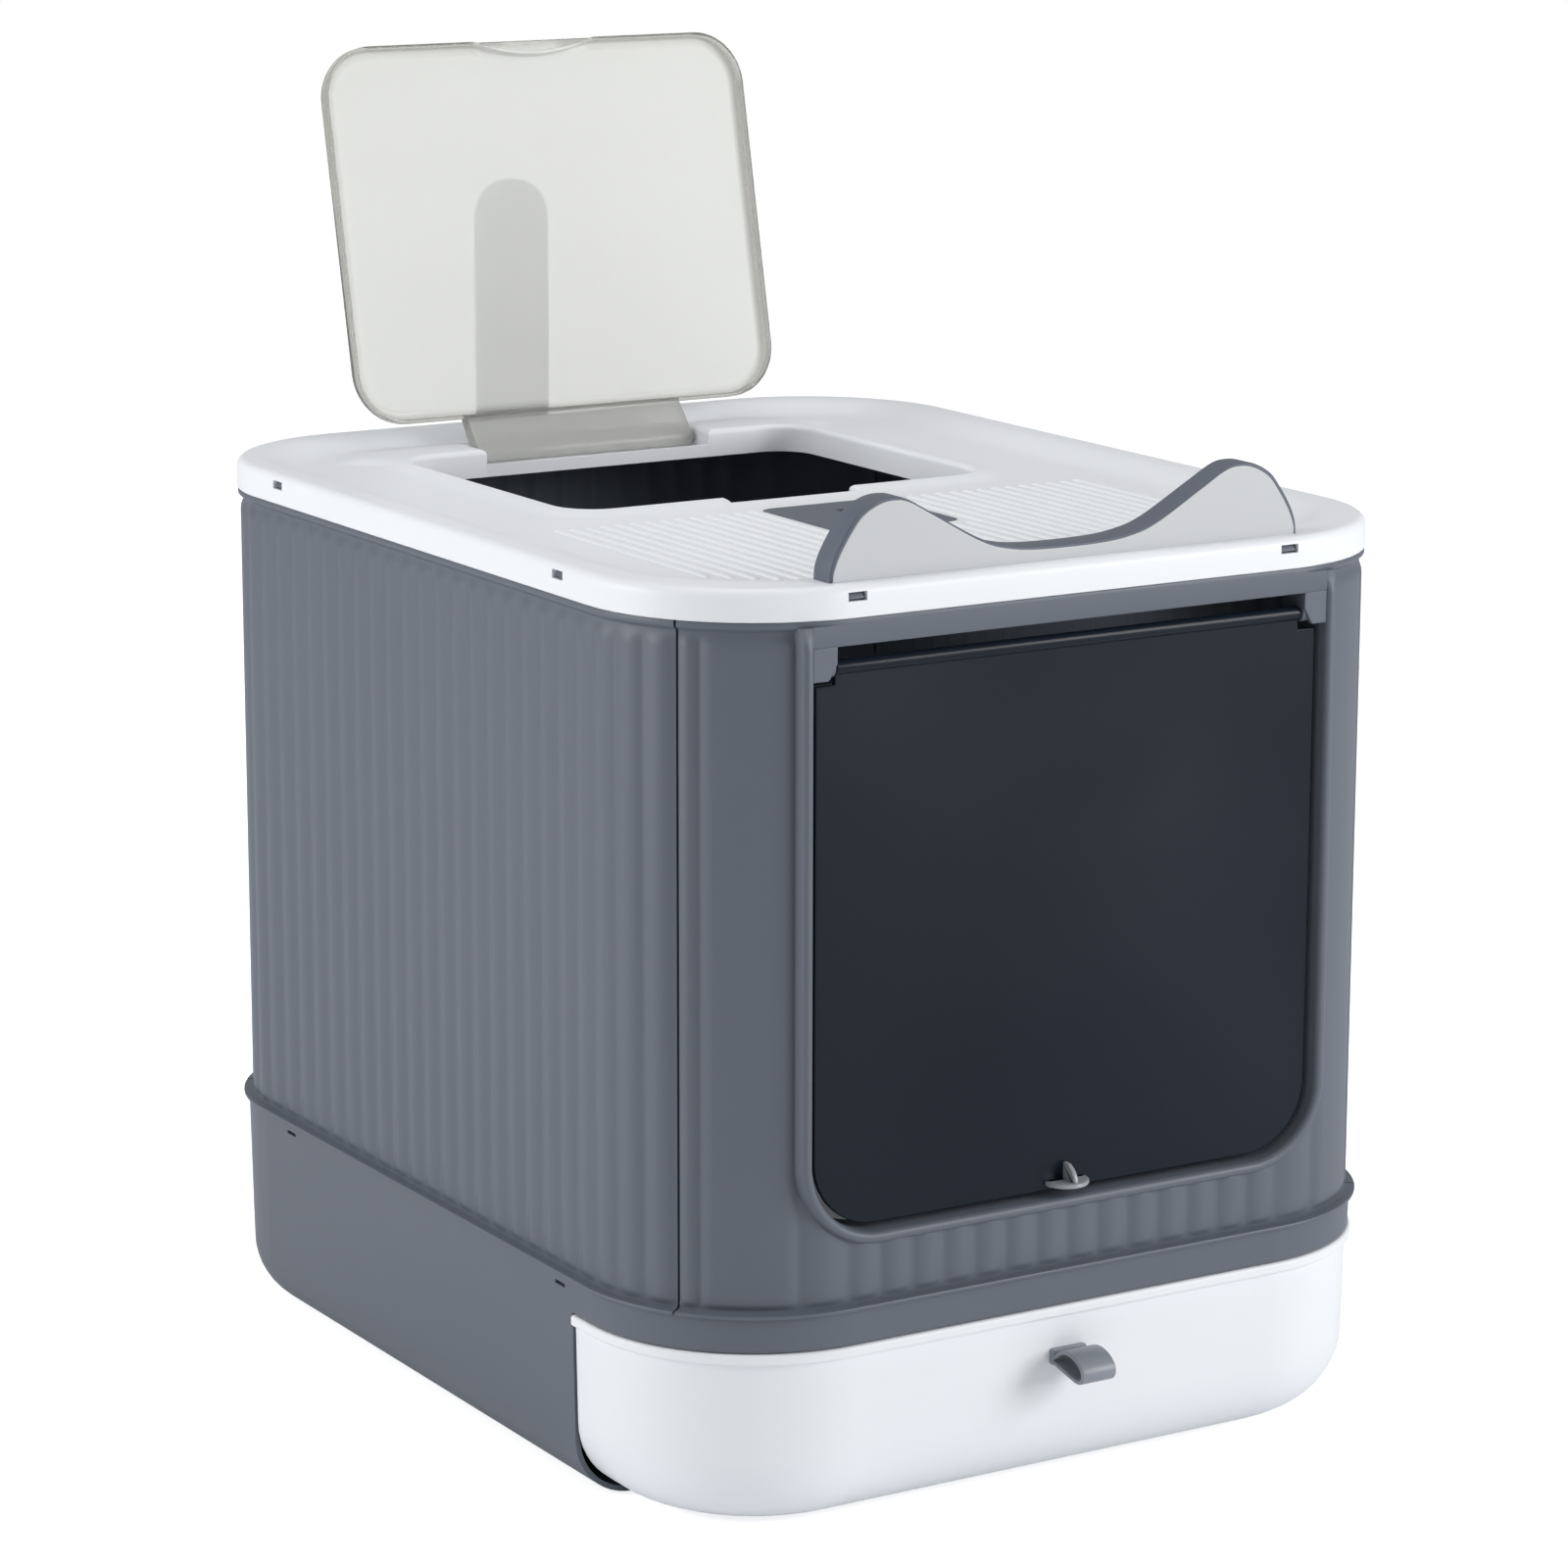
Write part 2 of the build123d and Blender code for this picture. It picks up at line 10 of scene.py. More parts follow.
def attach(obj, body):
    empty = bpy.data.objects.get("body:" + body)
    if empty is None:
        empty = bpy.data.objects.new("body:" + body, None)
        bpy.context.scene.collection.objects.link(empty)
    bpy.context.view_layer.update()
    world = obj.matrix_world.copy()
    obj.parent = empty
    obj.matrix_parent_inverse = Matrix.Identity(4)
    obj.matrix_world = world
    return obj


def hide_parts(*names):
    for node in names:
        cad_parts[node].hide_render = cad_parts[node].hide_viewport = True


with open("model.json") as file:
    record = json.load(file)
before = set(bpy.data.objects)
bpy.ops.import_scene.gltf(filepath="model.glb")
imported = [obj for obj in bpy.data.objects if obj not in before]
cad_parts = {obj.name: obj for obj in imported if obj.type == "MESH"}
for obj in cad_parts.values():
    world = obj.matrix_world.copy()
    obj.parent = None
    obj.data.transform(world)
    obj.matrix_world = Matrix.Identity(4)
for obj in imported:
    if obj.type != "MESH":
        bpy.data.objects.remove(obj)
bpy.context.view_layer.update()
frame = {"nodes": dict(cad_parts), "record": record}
nodes = frame["nodes"]
mm = 0.001
sharpAngle = math.radians(35)
print("frame loaded:", len(nodes), "nodes")


# sRGB hex text to the linear colour that a shader takes
def linear(text):
    c = np.array([int(text[i:i + 2], 16) for i in (1, 3, 5)]) / 255
    c = np.where(c <= 0.04045, c / 12.92, ((c + 0.055) / 1.055) ** 2.4)
    return (*c.tolist(), 1.0)


# the emptied node tree of a material or a world
def emptyTree(owner):
    owner.use_nodes = True
    owner.node_tree.nodes.clear()
    return owner.node_tree


# adds one node with its settings, input values and links
def addNode(tree, kind, settings=None, values=None, links=None):
    node = tree.nodes.new(kind)
    for key, value in (settings or {}).items():
        setattr(node, key, value)
    for key, value in (values or {}).items():
        node.inputs[key].default_value = value
    for key, source in (links or {}).items():
        tree.links.new(source, node.inputs[key])
    return node


# polypropylene and ABS, injection moulded: fine spark-eroded mould grain in the bump, faint colour
# drift over hand-wide areas, and gloss that drifts with it, as a part cooled in the mould has
def mouldedPlastic(name, colour, drift, roughness, grainMm, grainDepth, specular=0.5):
    material = bpy.data.materials.new(name)
    tree = emptyTree(material)
    place = addNode(tree, "ShaderNodeTexCoord")
    cloud = addNode(tree, "ShaderNodeTexNoise", {}, {"Scale": 9.0, "Detail": 3.0, "Roughness": 0.55},
                    {"Vector": place.outputs["Object"]})
    tint = addNode(tree, "ShaderNodeMix", {"data_type": "RGBA"},
                   {"A": linear(colour), "B": linear(drift)}, {"Factor": cloud.outputs["Fac"]})
    gloss = addNode(tree, "ShaderNodeMapRange", {},
                    {"To Min": roughness - 0.04, "To Max": roughness + 0.04},
                    {"Value": cloud.outputs["Fac"]})
    grain = addNode(tree, "ShaderNodeTexNoise", {}, {"Scale": 1000.0 / grainMm, "Detail": 2.0},
                    {"Vector": place.outputs["Object"]})
    bump = addNode(tree, "ShaderNodeBump", {}, {"Strength": grainDepth, "Distance": 0.0002},
                   {"Height": grain.outputs["Fac"]})
    shader = addNode(tree, "ShaderNodeBsdfPrincipled", {}, {"IOR": 1.49, "Specular IOR Level": specular},
                     {"Base Color": tint.outputs["Result"], "Roughness": gloss.outputs["Result"],
                      "Normal": bump.outputs["Normal"]})
    addNode(tree, "ShaderNodeOutputMaterial", {}, {}, {"Surface": shader.outputs["BSDF"]})
    return material


# smoked polystyrene sheet, polished: a blue black body under a clear gloss, whose faint waves a hand
# wide, left by cooling, make the reflections in it come and go softly
def smokedSheet(name, colour, drift):
    material = bpy.data.materials.new(name)
    tree = emptyTree(material)
    place = addNode(tree, "ShaderNodeTexCoord")
    cloud = addNode(tree, "ShaderNodeTexNoise", {}, {"Scale": 4.0, "Detail": 0.0},
                    {"Vector": place.outputs["Object"]})
    tint = addNode(tree, "ShaderNodeMix", {"data_type": "RGBA"},
                   {"A": linear(colour), "B": linear(drift)}, {"Factor": cloud.outputs["Fac"]})
    wave = addNode(tree, "ShaderNodeTexNoise", {}, {"Scale": 7.0, "Detail": 0.0},
                   {"Vector": place.outputs["Object"]})
    bump = addNode(tree, "ShaderNodeBump", {}, {"Strength": 1.0, "Distance": 0.012},
                   {"Height": wave.outputs["Fac"]})
    shader = addNode(tree, "ShaderNodeBsdfPrincipled", {},
                     {"IOR": 1.55, "Roughness": 0.22, "Specular IOR Level": 0.16},
                     {"Base Color": tint.outputs["Result"], "Normal": bump.outputs["Normal"]})
    addNode(tree, "ShaderNodeOutputMaterial", {}, {}, {"Surface": shader.outputs["BSDF"]})
    return material


# clear polystyrene, moulded: light passes with a faint warm grey tint and a haze that drifts over the
# plate; where the "rim" attribute is 1 the plastic stands on edge, has no haze and gets painted shade: a
# darker edge colour in place of the dark look refraction gives clear plastic seen edge on
def clearSheet(name, colour, drift, edge, roughness):
    material = bpy.data.materials.new(name)
    tree = emptyTree(material)
    place = addNode(tree, "ShaderNodeTexCoord")
    cloud = addNode(tree, "ShaderNodeTexNoise", {}, {"Scale": 8.0, "Detail": 2.0},
                    {"Vector": place.outputs["Object"]})
    tint = addNode(tree, "ShaderNodeMix", {"data_type": "RGBA"},
                   {"A": linear(colour), "B": linear(drift)}, {"Factor": cloud.outputs["Fac"]})
    rim = addNode(tree, "ShaderNodeAttribute", {"attribute_name": "rim"})
    # painted shade: where rim is 1 the base colour goes over to the darker edge colour
    body = addNode(tree, "ShaderNodeMix", {"data_type": "RGBA"}, {"B": linear(edge)},
                   {"A": tint.outputs["Result"], "Factor": rim.outputs["Fac"]})
    clear = addNode(tree, "ShaderNodeMapRange", {}, {"To Min": 0.45, "To Max": 0.9},
                    {"Value": rim.outputs["Fac"]})
    shader = addNode(tree, "ShaderNodeBsdfPrincipled", {}, {"IOR": 1.25, "Roughness": roughness},
                     {"Base Color": body.outputs["Result"], "Transmission Weight": clear.outputs["Result"]})
    addNode(tree, "ShaderNodeOutputMaterial", {}, {}, {"Surface": shader.outputs["BSDF"]})
    return material


finish = {
    "grey_shell": mouldedPlastic("greyPolypropyleneMoulded", "#5d646f", "#616873", 0.44, 0.9, 0.10),
    "white_shell": mouldedPlastic("whitePolypropyleneMoulded", "#eef1f6", "#f1f3f7", 0.40, 0.9, 0.06),
    "grey_trim": mouldedPlastic("darkGreyPolypropyleneMoulded", "#5e6571", "#626975", 0.46, 0.8, 0.10, 0.35),
    "light_grey_plate": mouldedPlastic("lightGreyAbsPolished", "#c5c7ca", "#cacccf", 0.30, 0.8, 0.04),
    "dark_smoke": smokedSheet("smokedPolystyreneSheet", "#0b131e", "#1b2430"),
    "clear_smoke": clearSheet("clearPolystyreneMoulded", "#e6e7e4", "#e9eae7", "#b2b1ac", 0.06),
    "clear_grey": mouldedPlastic("greyPolystyreneGloss", "#9ba0a5", "#a3a8ad", 0.14, 0.8, 0.02),
    # the pull is moulded in the walls' grey; its lighter colour here is painted light, standing in for the
    # light that falls on it
    "pull": mouldedPlastic("greyPolypropylenePaintedLighter", "#878d96", "#8b919a", 0.36, 0.8, 0.08),
}
for part in frame["record"]["subparts"]:
    skin = nodes[part["node"]].data
    skin.materials.clear()
    skin.materials.append(finish[part["material_slot"]])
print("materials:", len(finish))


# cells of a grid of points as quads; a closed direction joins its last line to its first
def gridCells(rows, cols, closeRows=False, closeCols=False):
    r = np.arange(rows if closeRows else rows - 1)
    c = np.arange(cols if closeCols else cols - 1)
    r, c = np.meshgrid(r, c, indexing="ij")
    r2, c2 = (r + 1) % rows, (c + 1) % cols
    return np.stack([r * cols + c, r * cols + c2, r2 * cols + c2, r2 * cols + c], -1).reshape(-1, 4)


# grids of points in mm as one mesh, welded where they meet; "caps" closes the first or last row
def patchMesh(name, patches):
    points, faces, start = [], [], 0
    for patch in patches:
        grid = np.asarray(patch["points"], float)
        rows, cols = grid.shape[:2]
        faces += (gridCells(rows, cols, patch.get("closeRows"), patch.get("closeCols")) + start).tolist()
        for row in patch.get("caps", ()):
            faces.append((np.arange(cols) + start + (rows - 1) * cols * (row == -1)).tolist())
        points.append(grid.reshape(-1, 3))
        start += rows * cols
    mesh = bpy.data.meshes.new(name)
    mesh.from_pydata((np.vstack(points) * mm).tolist(), [], faces)
    work = bmesh.new()
    work.from_mesh(mesh)
    bmesh.ops.remove_doubles(work, verts=work.verts, dist=0.01 * mm)
    bmesh.ops.recalc_face_normals(work, faces=work.faces)
    work.to_mesh(mesh)
    work.free()
    return mesh


# a grid whose columns close into rings, with both ends capped
def closed(points):
    return {"points": points, "closeCols": True, "caps": (0, -1)}


# makes a piece from its grids, gives a sheet its wall, cuts, keeps the result and rides it on its body
def addPiece(name, patches, body, slotName, stands=(), wall=0.0, even=True, cutter=None, look=None):
    mesh = patchMesh(name, patches)
    piece = bpy.data.objects.new(name, mesh)
    bpy.context.scene.collection.objects.link(piece)
    if wall:
        shell = piece.modifiers.new("wall", "SOLIDIFY")
        shell.thickness = wall * mm
        shell.offset = -1
        shell.use_even_offset = even
    if cutter:
        cut = piece.modifiers.new("cut", "BOOLEAN")
        cut.operation = "DIFFERENCE"
        cut.object = cutter
        cut.solver = "EXACT"
    if piece.modifiers:
        made = piece.evaluated_get(bpy.context.evaluated_depsgraph_get())
        mesh = bpy.data.meshes.new_from_object(made)
        piece.modifiers.clear()
        piece.data = mesh
        mesh.name = name
    if cutter:
        bpy.data.objects.remove(cutter)
    mesh.polygons.foreach_set("use_smooth", np.ones(len(mesh.polygons), bool))
    mesh.set_sharp_from_angle(angle=sharpAngle)
    mesh.materials.clear()
    mesh.materials.append(finish[look or slotName])
    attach(piece, body)
    if stands:
        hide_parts(*stands)
    return piece


# 0 below a, 1 above b, and an s-curve between
def smooth(x, a, b):
    t = np.clip((np.asarray(x, float) - a) / (b - a), 0, 1)
    return t * t * (3 - 2 * t)


# points of an arc round a centre, angles in degrees
def arc(cx, cy, radius, a0, a1, steps):
    a = np.radians(np.linspace(a0, a1, steps))
    return np.stack([cx + radius * np.cos(a), cy + radius * np.sin(a)], 1)


# rounded rectangle, counterclockwise from the lower end of its right side
def roundedOutline(halfX, halfY, radius, steps, middle=(0, 0)):
    cx, cy = halfX - radius, halfY - radius
    ring = np.vstack([arc(cx, -cy, radius, -90, 0, steps), arc(cx, cy, radius, 0, 90, steps),
                      arc(-cx, cy, radius, 90, 180, steps), arc(-cx, -cy, radius, 180, 270, steps)])
    return ring + np.array(middle)


# splits the long edges of a closed outline so that no step is over the spacing
def spread(outline, spacing):
    ahead = np.roll(outline, -1, 0)
    counts = np.maximum(1, np.ceil(np.linalg.norm(ahead - outline, axis=1) / spacing)).astype(int)
    return np.vstack([p + (q - p) * np.linspace(0, 1, n, endpoint=False)[:, None]
                      for p, q, n in zip(outline, ahead, counts)])


# direction into a closed outline at each point, mitred so that an inset keeps its width at corners
def inwardOf(outline):
    step = np.roll(outline, -1, 0) - outline
    step = step / np.linalg.norm(step, axis=1, keepdims=True)
    back = np.roll(step, 1, 0)
    n1 = np.stack([-back[:, 1], back[:, 0]], 1)
    n2 = np.stack([-step[:, 1], step[:, 0]], 1)
    mitre = (n1 + n2) / (1 + (n1 * n2).sum(1, keepdims=True))
    nxt = np.roll(outline, -1, 0)
    area = (outline[:, 0] * nxt[:, 1] - outline[:, 1] * nxt[:, 0]).sum()
    return mitre if area > 0 else -mitre


# rows of a plate between two levels: a flat rim, a quarter round, the side, a quarter round, a flat rim
def plateRows(outline, low, high, rounding, steps=5):
    inward = inwardOf(outline)
    a = np.linspace(0, np.pi / 2, steps)
    inset = np.r_[2 * rounding, rounding * (1 - np.sin(a))]
    level = np.r_[low, low + rounding * (1 - np.cos(a))]
    inset = np.r_[inset, inset[::-1]]
    level = np.r_[level, low + high - level[::-1]]
    flat = outline[None] + inward[None] * inset[:, None, None]
    return np.concatenate([flat, np.broadcast_to(level[:, None, None], (*flat.shape[:2], 1))], -1)


# plate rows drawn in one plane turned into the frame: which of the three numbers is x, y and z
def placed(rows, order, shift=(0, 0, 0)):
    return rows[..., list(order)] + np.array(shift)


# a curve through points, by cubic pieces whose slopes come from the neighbours
def curveThrough(points, perSpan):
    p = np.asarray(points, float)
    slope = np.gradient(p, axis=0)
    t = np.linspace(0, 1, perSpan, endpoint=False)[None, :, None]
    p0, p1, m0, m1 = (v[:, None] for v in (p[:-1], p[1:], slope[:-1], slope[1:]))
    line = ((2 * t ** 3 - 3 * t ** 2 + 1) * p0 + (t ** 3 - 2 * t ** 2 + t) * m0
            + (-2 * t ** 3 + 3 * t ** 2) * p1 + (t ** 3 - t ** 2) * m1)
    return np.vstack([line.reshape(-1, p.shape[1]), p[-1:]])


# walls: the plan path is the cover's outline moved in, and each flute is one hump of a sine along it
walls = {"halfX": 200.0, "halfY": 251.0, "corner": 84.0, "inset": 1.4, "depth": 1.5, "soft": 0.18,
         "seam": 35.2, "seamGap": 1.2, "footZ": 107.9, "lipZ": 413.6, "skirtZ": 416.0, "topZ": 426.5,
         "tongueZ": 99.0, "thick": 2.2, "lipInset": 0.4, "lipTuck": 0.5, "tuckZ": 414.6, "tuckHigh": 1.4,
         "tongueInset": 3.0, "perFlute": 14}


# one run of a wall path: base points, outward directions and place within a flute
# (a groove share makes the flute flat between two narrow grooves)
def wallRun(kind, numbers, flutes, extra=(), groove=None):
    share = np.linspace(0, 1, flutes * walls["perFlute"] + 1)
    share = np.unique(np.round(np.r_[share, extra], 9))
    if kind == "arc":
        cx, cy, a0, a1 = numbers
        a = np.radians(a0 + (a1 - a0) * share)
        out = np.stack([np.cos(a), np.sin(a)], 1)
        base = np.array([cx, cy]) + (walls["corner"] - walls["inset"]) * out
    else:
        p, q = np.array(numbers[:2]), np.array(numbers[2:])
        base = p + (q - p) * share[:, None]
        along = (q - p) / np.linalg.norm(q - p)
        out = np.broadcast_to([along[1], -along[0]], base.shape)
    phase = share * flutes
    if groove:
        phase = (np.clip(share / groove, 0, 1) + np.clip((share - 1) / groove + 1, 0, 1)) / 2
    return base, out, phase % 1.0


def joinRuns(runs):
    base, out, phase = (np.concatenate([r[i] for r in runs]) for i in range(3))
    keep = np.r_[True, np.linalg.norm(np.diff(base, axis=0), axis=1) > 1e-6]
    hump = np.sqrt(np.sin(np.pi * phase[keep]) ** 2 + walls["soft"] ** 2) - walls["soft"]
    return base[keep], out[keep], hump / (math.sqrt(1 + walls["soft"] ** 2) - walls["soft"])


# inset of the wall at a height: flutes that fade out at foot and top, then the lip and the tongue
def wallInset(z, hump, fadeMore=1.0):
    fade = smooth(z, walls["footZ"] + 0.6, walls["footZ"] + 4)
    fade = fade * smooth(-z, 3 - walls["lipZ"], 9 - walls["lipZ"])
    inset = walls["inset"] + walls["depth"] * (1 - hump * fade * fadeMore)
    tuck = np.clip((z - walls["tuckZ"]) / walls["tuckHigh"], 0, 1) ** 3
    lip = walls["lipInset"] + walls["lipTuck"] * tuck
    inset = inset + (lip - inset) * smooth(z, walls["lipZ"] - 2.4, walls["lipZ"] - 0.1)
    return np.where((z > walls["skirtZ"]) | (z < walls["footZ"]), walls["tongueInset"], inset)


def wallGrid(base, out, z, inset):
    flat = base[None] - out[None] * (inset - walls["inset"])[..., None]
    return np.concatenate([flat, np.broadcast_to(z, inset.shape)[..., None]], -1)


lowRows = np.array([walls["tongueZ"], 107.8, 107.95, 108.6, 109.4, 110.2, 111, 112, 114, 120, 130])
highRows = np.array([398, 402, 404, 406, 407.5, 409, 410.2, 411.2, 411.8, 412.3, 412.8, 413.2, 413.6, 414.4,
                     415.2, 415.7, 415.98, 416.02, walls["topZ"]])
cornerX, cornerY = walls["halfX"] - walls["corner"], walls["halfY"] - walls["corner"]
sideX, endY = walls["halfX"] - walls["inset"], walls["halfY"] - walls["inset"]
gapDeg = math.degrees(walls["seamGap"] / 2 / (walls["corner"] - walls["inset"]))
leftPath = joinRuns([
    wallRun("arc", (-cornerX, cornerY, 180 - walls["seam"] + gapDeg, 180), 3),
    wallRun("line", (-sideX, cornerY, -sideX, -cornerY), 20),
    wallRun("arc", (-cornerX, -cornerY, 180, 180 + walls["seam"] - gapDeg), 3)])
endRuns = [
    wallRun("arc", (-cornerX, -cornerY, 180 + walls["seam"] + gapDeg, 270), 3),
    wallRun("line", (-cornerX, -endY, cornerX, -endY), 14),
    wallRun("arc", (cornerX, -cornerY, 270, 360 - walls["seam"] - gapDeg), 3)]
tallRows = np.concatenate([lowRows, np.linspace(150, 380, 6), highRows])[:, None]
for name, path, turnX, turnY, node in (
        ("leftWall", leftPath, 1, 1, "left_panel"), ("rightWall", leftPath, -1, 1, "right_panel"),
        ("rearWall", joinRuns(endRuns), -1, -1, "rear_panel")):
    grid = wallGrid(path[0], path[1], tallRows, wallInset(tallRows, path[2][None]))
    addPiece(name, [{"points": grid * np.array([turnX, turnY, 1])}], "body", "grey_shell", [node],
             wall=walls["thick"])
# foot flanges: one closed section (inset, height) carried along each wall's path, resting on the base
foot = np.array([(3.4, 109.2), (2.4, 108.6), (1.6, 108.2), (0.8, 107.98), (-2.3, 107.9), (-2.8, 107.72),
                 (-3.0, 107.3), (-3.0, 106.7), (-2.8, 106.28), (-2.3, 106.1), (2.6, 106.1), (3.4, 106.6)])
patches = []
endPath = joinRuns(endRuns)
for path, turnX, turnY in ((leftPath, 1, 1), (leftPath, -1, 1), (endPath, 1, 1), (endPath, 1, -1)):
    flat = path[0][:, None] - path[1][:, None] * (foot[None, :, :1] - walls["inset"])
    grid = np.concatenate([flat, np.broadcast_to(foot[:, 1:], (*flat.shape[:2], 1))], -1)
    patches.append(closed(grid * np.array([turnX, turnY, 1])))
addPiece("footFlanges", patches, "body", "grey_shell")
# seam laps: the end walls run on behind each corner seam as a thin strip, so no light shows through
gapStrip = np.array([(5.2, -6.0), (6.4, -6.0), (6.4, 6.0), (5.2, 6.0)])
stripEnds = (110.0, 425.0)
patches = []
for sx in (-1, 1):
    for sy in (-1, 1):
        a = math.radians(walls["seam"])
        ahead = np.array([sx * math.cos(a), sy * math.sin(a)])
        across = np.array([-ahead[1], ahead[0]])
        ring = np.array([sx * cornerX, sy * cornerY]) + gapStrip[:, 1:] * across
        ring = ring + (walls["corner"] - gapStrip[:, :1]) * ahead
        patches.append(closed(np.stack([np.c_[ring, np.full(4, z)] for z in stripEnds])))
addPiece("seamLaps", patches, "body", "grey_shell")
print("side and rear walls made")

# front wall: its lower grid ends on the middle of the door's bead, and two upper grids stand beside it
door = {"half": 136.0, "sill": 140.0, "round": 35.0, "beadMiddle": 2.2, "headY": -250.4, "headHalf": 136.5,
        "fadeFrom": 3.4, "fadeTo": 5.8}


# distance out from the doorway's outline, which is a tall rectangle with two rounded lower corners
def fromDoor(x, z):
    c = door["half"] - door["round"]
    away = np.hypot(np.maximum(np.abs(x) - c, 0), np.maximum(door["sill"] + door["round"] - z, 0))
    return away - door["round"]


edgeX = door["half"] + door["beadMiddle"]
edgeAngle = math.degrees(math.acos((edgeX - cornerX) / (walls["corner"] - walls["inset"])))
a0 = 180 + walls["seam"] + gapDeg
# beside the seam a narrow flute, then a plain rounded corner up to the bead
grooves = (222.2, 253.2)
grooveShare = 0.16
shareLeft = (180 + edgeAngle - grooves[1]) / (270 - grooves[1])
fine = np.linspace(0, 1, 61)
frontRuns = [
    wallRun("arc", (-cornerX, -cornerY, a0, grooves[0]), 1),
    wallRun("arc", (-cornerX, -cornerY, *grooves), 1, fine, grooveShare),
    wallRun("arc", (-cornerX, -cornerY, grooves[1], 270), 1, [shareLeft]),
    endRuns[1],
    wallRun("arc", (cornerX, -cornerY, 270, 540 - grooves[1]), 1, [1 - shareLeft]),
    wallRun("arc", (cornerX, -cornerY, 540 - grooves[1], 540 - grooves[0]), 1, fine, grooveShare),
    wallRun("arc", (cornerX, -cornerY, 540 - grooves[0], 540 - a0), 1)]
base, out, hump = joinRuns(frontRuns)
shoulderZ = door["sill"] + door["round"]
inDoor = np.abs(base[:, 0]) < edgeX - 1e-4
reach = door["round"] + door["beadMiddle"]
over = np.maximum(np.abs(base[:, 0]) - (door["half"] - door["round"]), 0)
topEdge = np.where(inDoor, shoulderZ - np.sqrt(np.maximum(reach ** 2 - over ** 2, 0)), shoulderZ)
share = np.linspace(0, 1, 26)[1:, None]
lowZ = np.concatenate([np.broadcast_to(lowRows[:8, None], (8, len(base))),
                       lowRows[7] + (topEdge[None] - lowRows[7]) * share])
fadeDoor = smooth(fromDoor(base[None, :, 0], lowZ), door["fadeFrom"], door["fadeTo"])
patches = [{"points": wallGrid(base, out, lowZ, wallInset(lowZ, hump[None], fadeDoor))}]
upRows = np.concatenate([[shoulderZ], np.linspace(190, 380, 6), highRows])[:, None]
for side in (-1, 1):
    pick = side * base[:, 0] >= edgeX - 1e-4
    fadeDoor = smooth(fromDoor(base[None, pick, 0], upRows), door["fadeFrom"], door["fadeTo"])
    patches.append({"points": wallGrid(base[pick], out[pick], upRows,
                                       wallInset(upRows, hump[None, pick], fadeDoor))})
# the lip and the tongue run on over the doorway
aboveDoor = np.abs(base[:, 0]) <= edgeX + 1e-4
lipRows = highRows[highRows >= walls["lipZ"]][:, None]
patches.append({"points": wallGrid(base[aboveDoor], out[aboveDoor], lipRows,
                                   wallInset(lipRows, np.ones((1, aboveDoor.sum()))))})
addPiece("frontWall", patches, "body", "grey_shell", ["front_panel"], wall=walls["thick"])

# door trim: one closed section (distance out from the doorway, depth) carried along the U of the doorway,
# whose bead sinks into the header at its upper ends
section = np.array([(6.2, -242.0), (5.4, -249.6), (4.9, -250.9), (4.0, -251.7), (3.0, -251.9), (1.9, -251.8),
                    (1.0, -251.3), (0.35, -250.4), (0.0, -249.2), (-0.2, -240.0), (-0.4, -230.4),
                    (0.0, -230.0), (2.2, -230.0), (2.4, -230.6), (2.6, -242.0)])
c = door["half"] - door["round"]
legZ = (413.5, 411.5, 409.5, 407.5, 405.5, 403.0, 330.0, 250.0)
uPath = np.vstack([[(-door["half"], z) for z in legZ],
                   arc(-c, shoulderZ, door["round"], 180, 270, 22),
                   [(-50.0, door["sill"]), (50.0, door["sill"])],
                   arc(c, shoulderZ, door["round"], 270, 360, 22),
                   [(door["half"], z) for z in legZ[::-1]]])
along = np.gradient(uPath, axis=0)
along = along / np.linalg.norm(along, axis=1, keepdims=True)
outward = np.stack([along[:, 1], -along[:, 0]], 1)
ring = uPath[:, None] + outward[:, None] * section[None, :, :1]
proud = np.minimum(section[:, 1] - door["headY"], 0) * (1 - smooth(uPath[:, 1], 402.5, 411.5)[:, None])
depth = np.maximum(section[:, 1], door["headY"]) + proud
trim = np.stack([ring[..., 0], depth, ring[..., 1]], -1)
header = np.array([(door["headY"], 413.7), (door["headY"], 405.0), (-250.1, 404.3), (-249.5, 404.0),
                   (-230.4, 404.0), (-230.0, 404.4), (-230.0, 406.4), (-246.2, 406.6), (-246.2, 413.7)])
bar = np.stack([np.c_[np.full(len(header), x), header] for x in (-door["headHalf"], door["headHalf"])])
patches = [closed(trim), closed(bar)]
# lugs that hold the flap's pins: a cheek plate with a slanted inner edge, and a boss under a deep block
flap = {"half": 133.0, "low": 143.0, "earZ": 387.0, "neck": 123.3, "axisZ": 394.4, "axisY": -245.3,
        "round": 32.0, "thick": 2.6, "barrel": 3.4, "pin": 2.2, "pinEnd": 130.0}
lug = {"inner": 124.2, "outer": 136.4, "cheekY": -247.6, "boss": 4.0}
cheek = np.array([(lug["outer"], 404.4), (124.1, 404.4), (124.1, 396.6), (124.9, 395.8), (128.0, 390.2),
                  (128.8, 389.6), (lug["outer"], 389.6)])
boss = np.vstack([[(-249.6, 404.2), (-249.4, 394.4)],
                  arc(flap["axisY"], flap["axisZ"], lug["boss"], 180, 360, 14),
                  [(-241.3, 395.0), (-233.0, 395.0), (-233.0, 404.2)]])
for side in (-1, 1):
    rows = plateRows(cheek, door["headY"], lug["cheekY"], 0.4)
    rows[..., 0] *= side
    patches.append(closed(placed(rows, (0, 2, 1))))
    rows = plateRows(boss, lug["inner"], lug["outer"], 0.3)
    rows[..., 2] *= side
    patches.append(closed(placed(rows, (2, 0, 1))))
addPiece("doorTrim", patches, "body", "grey_shell")
print("front wall and door trim made")

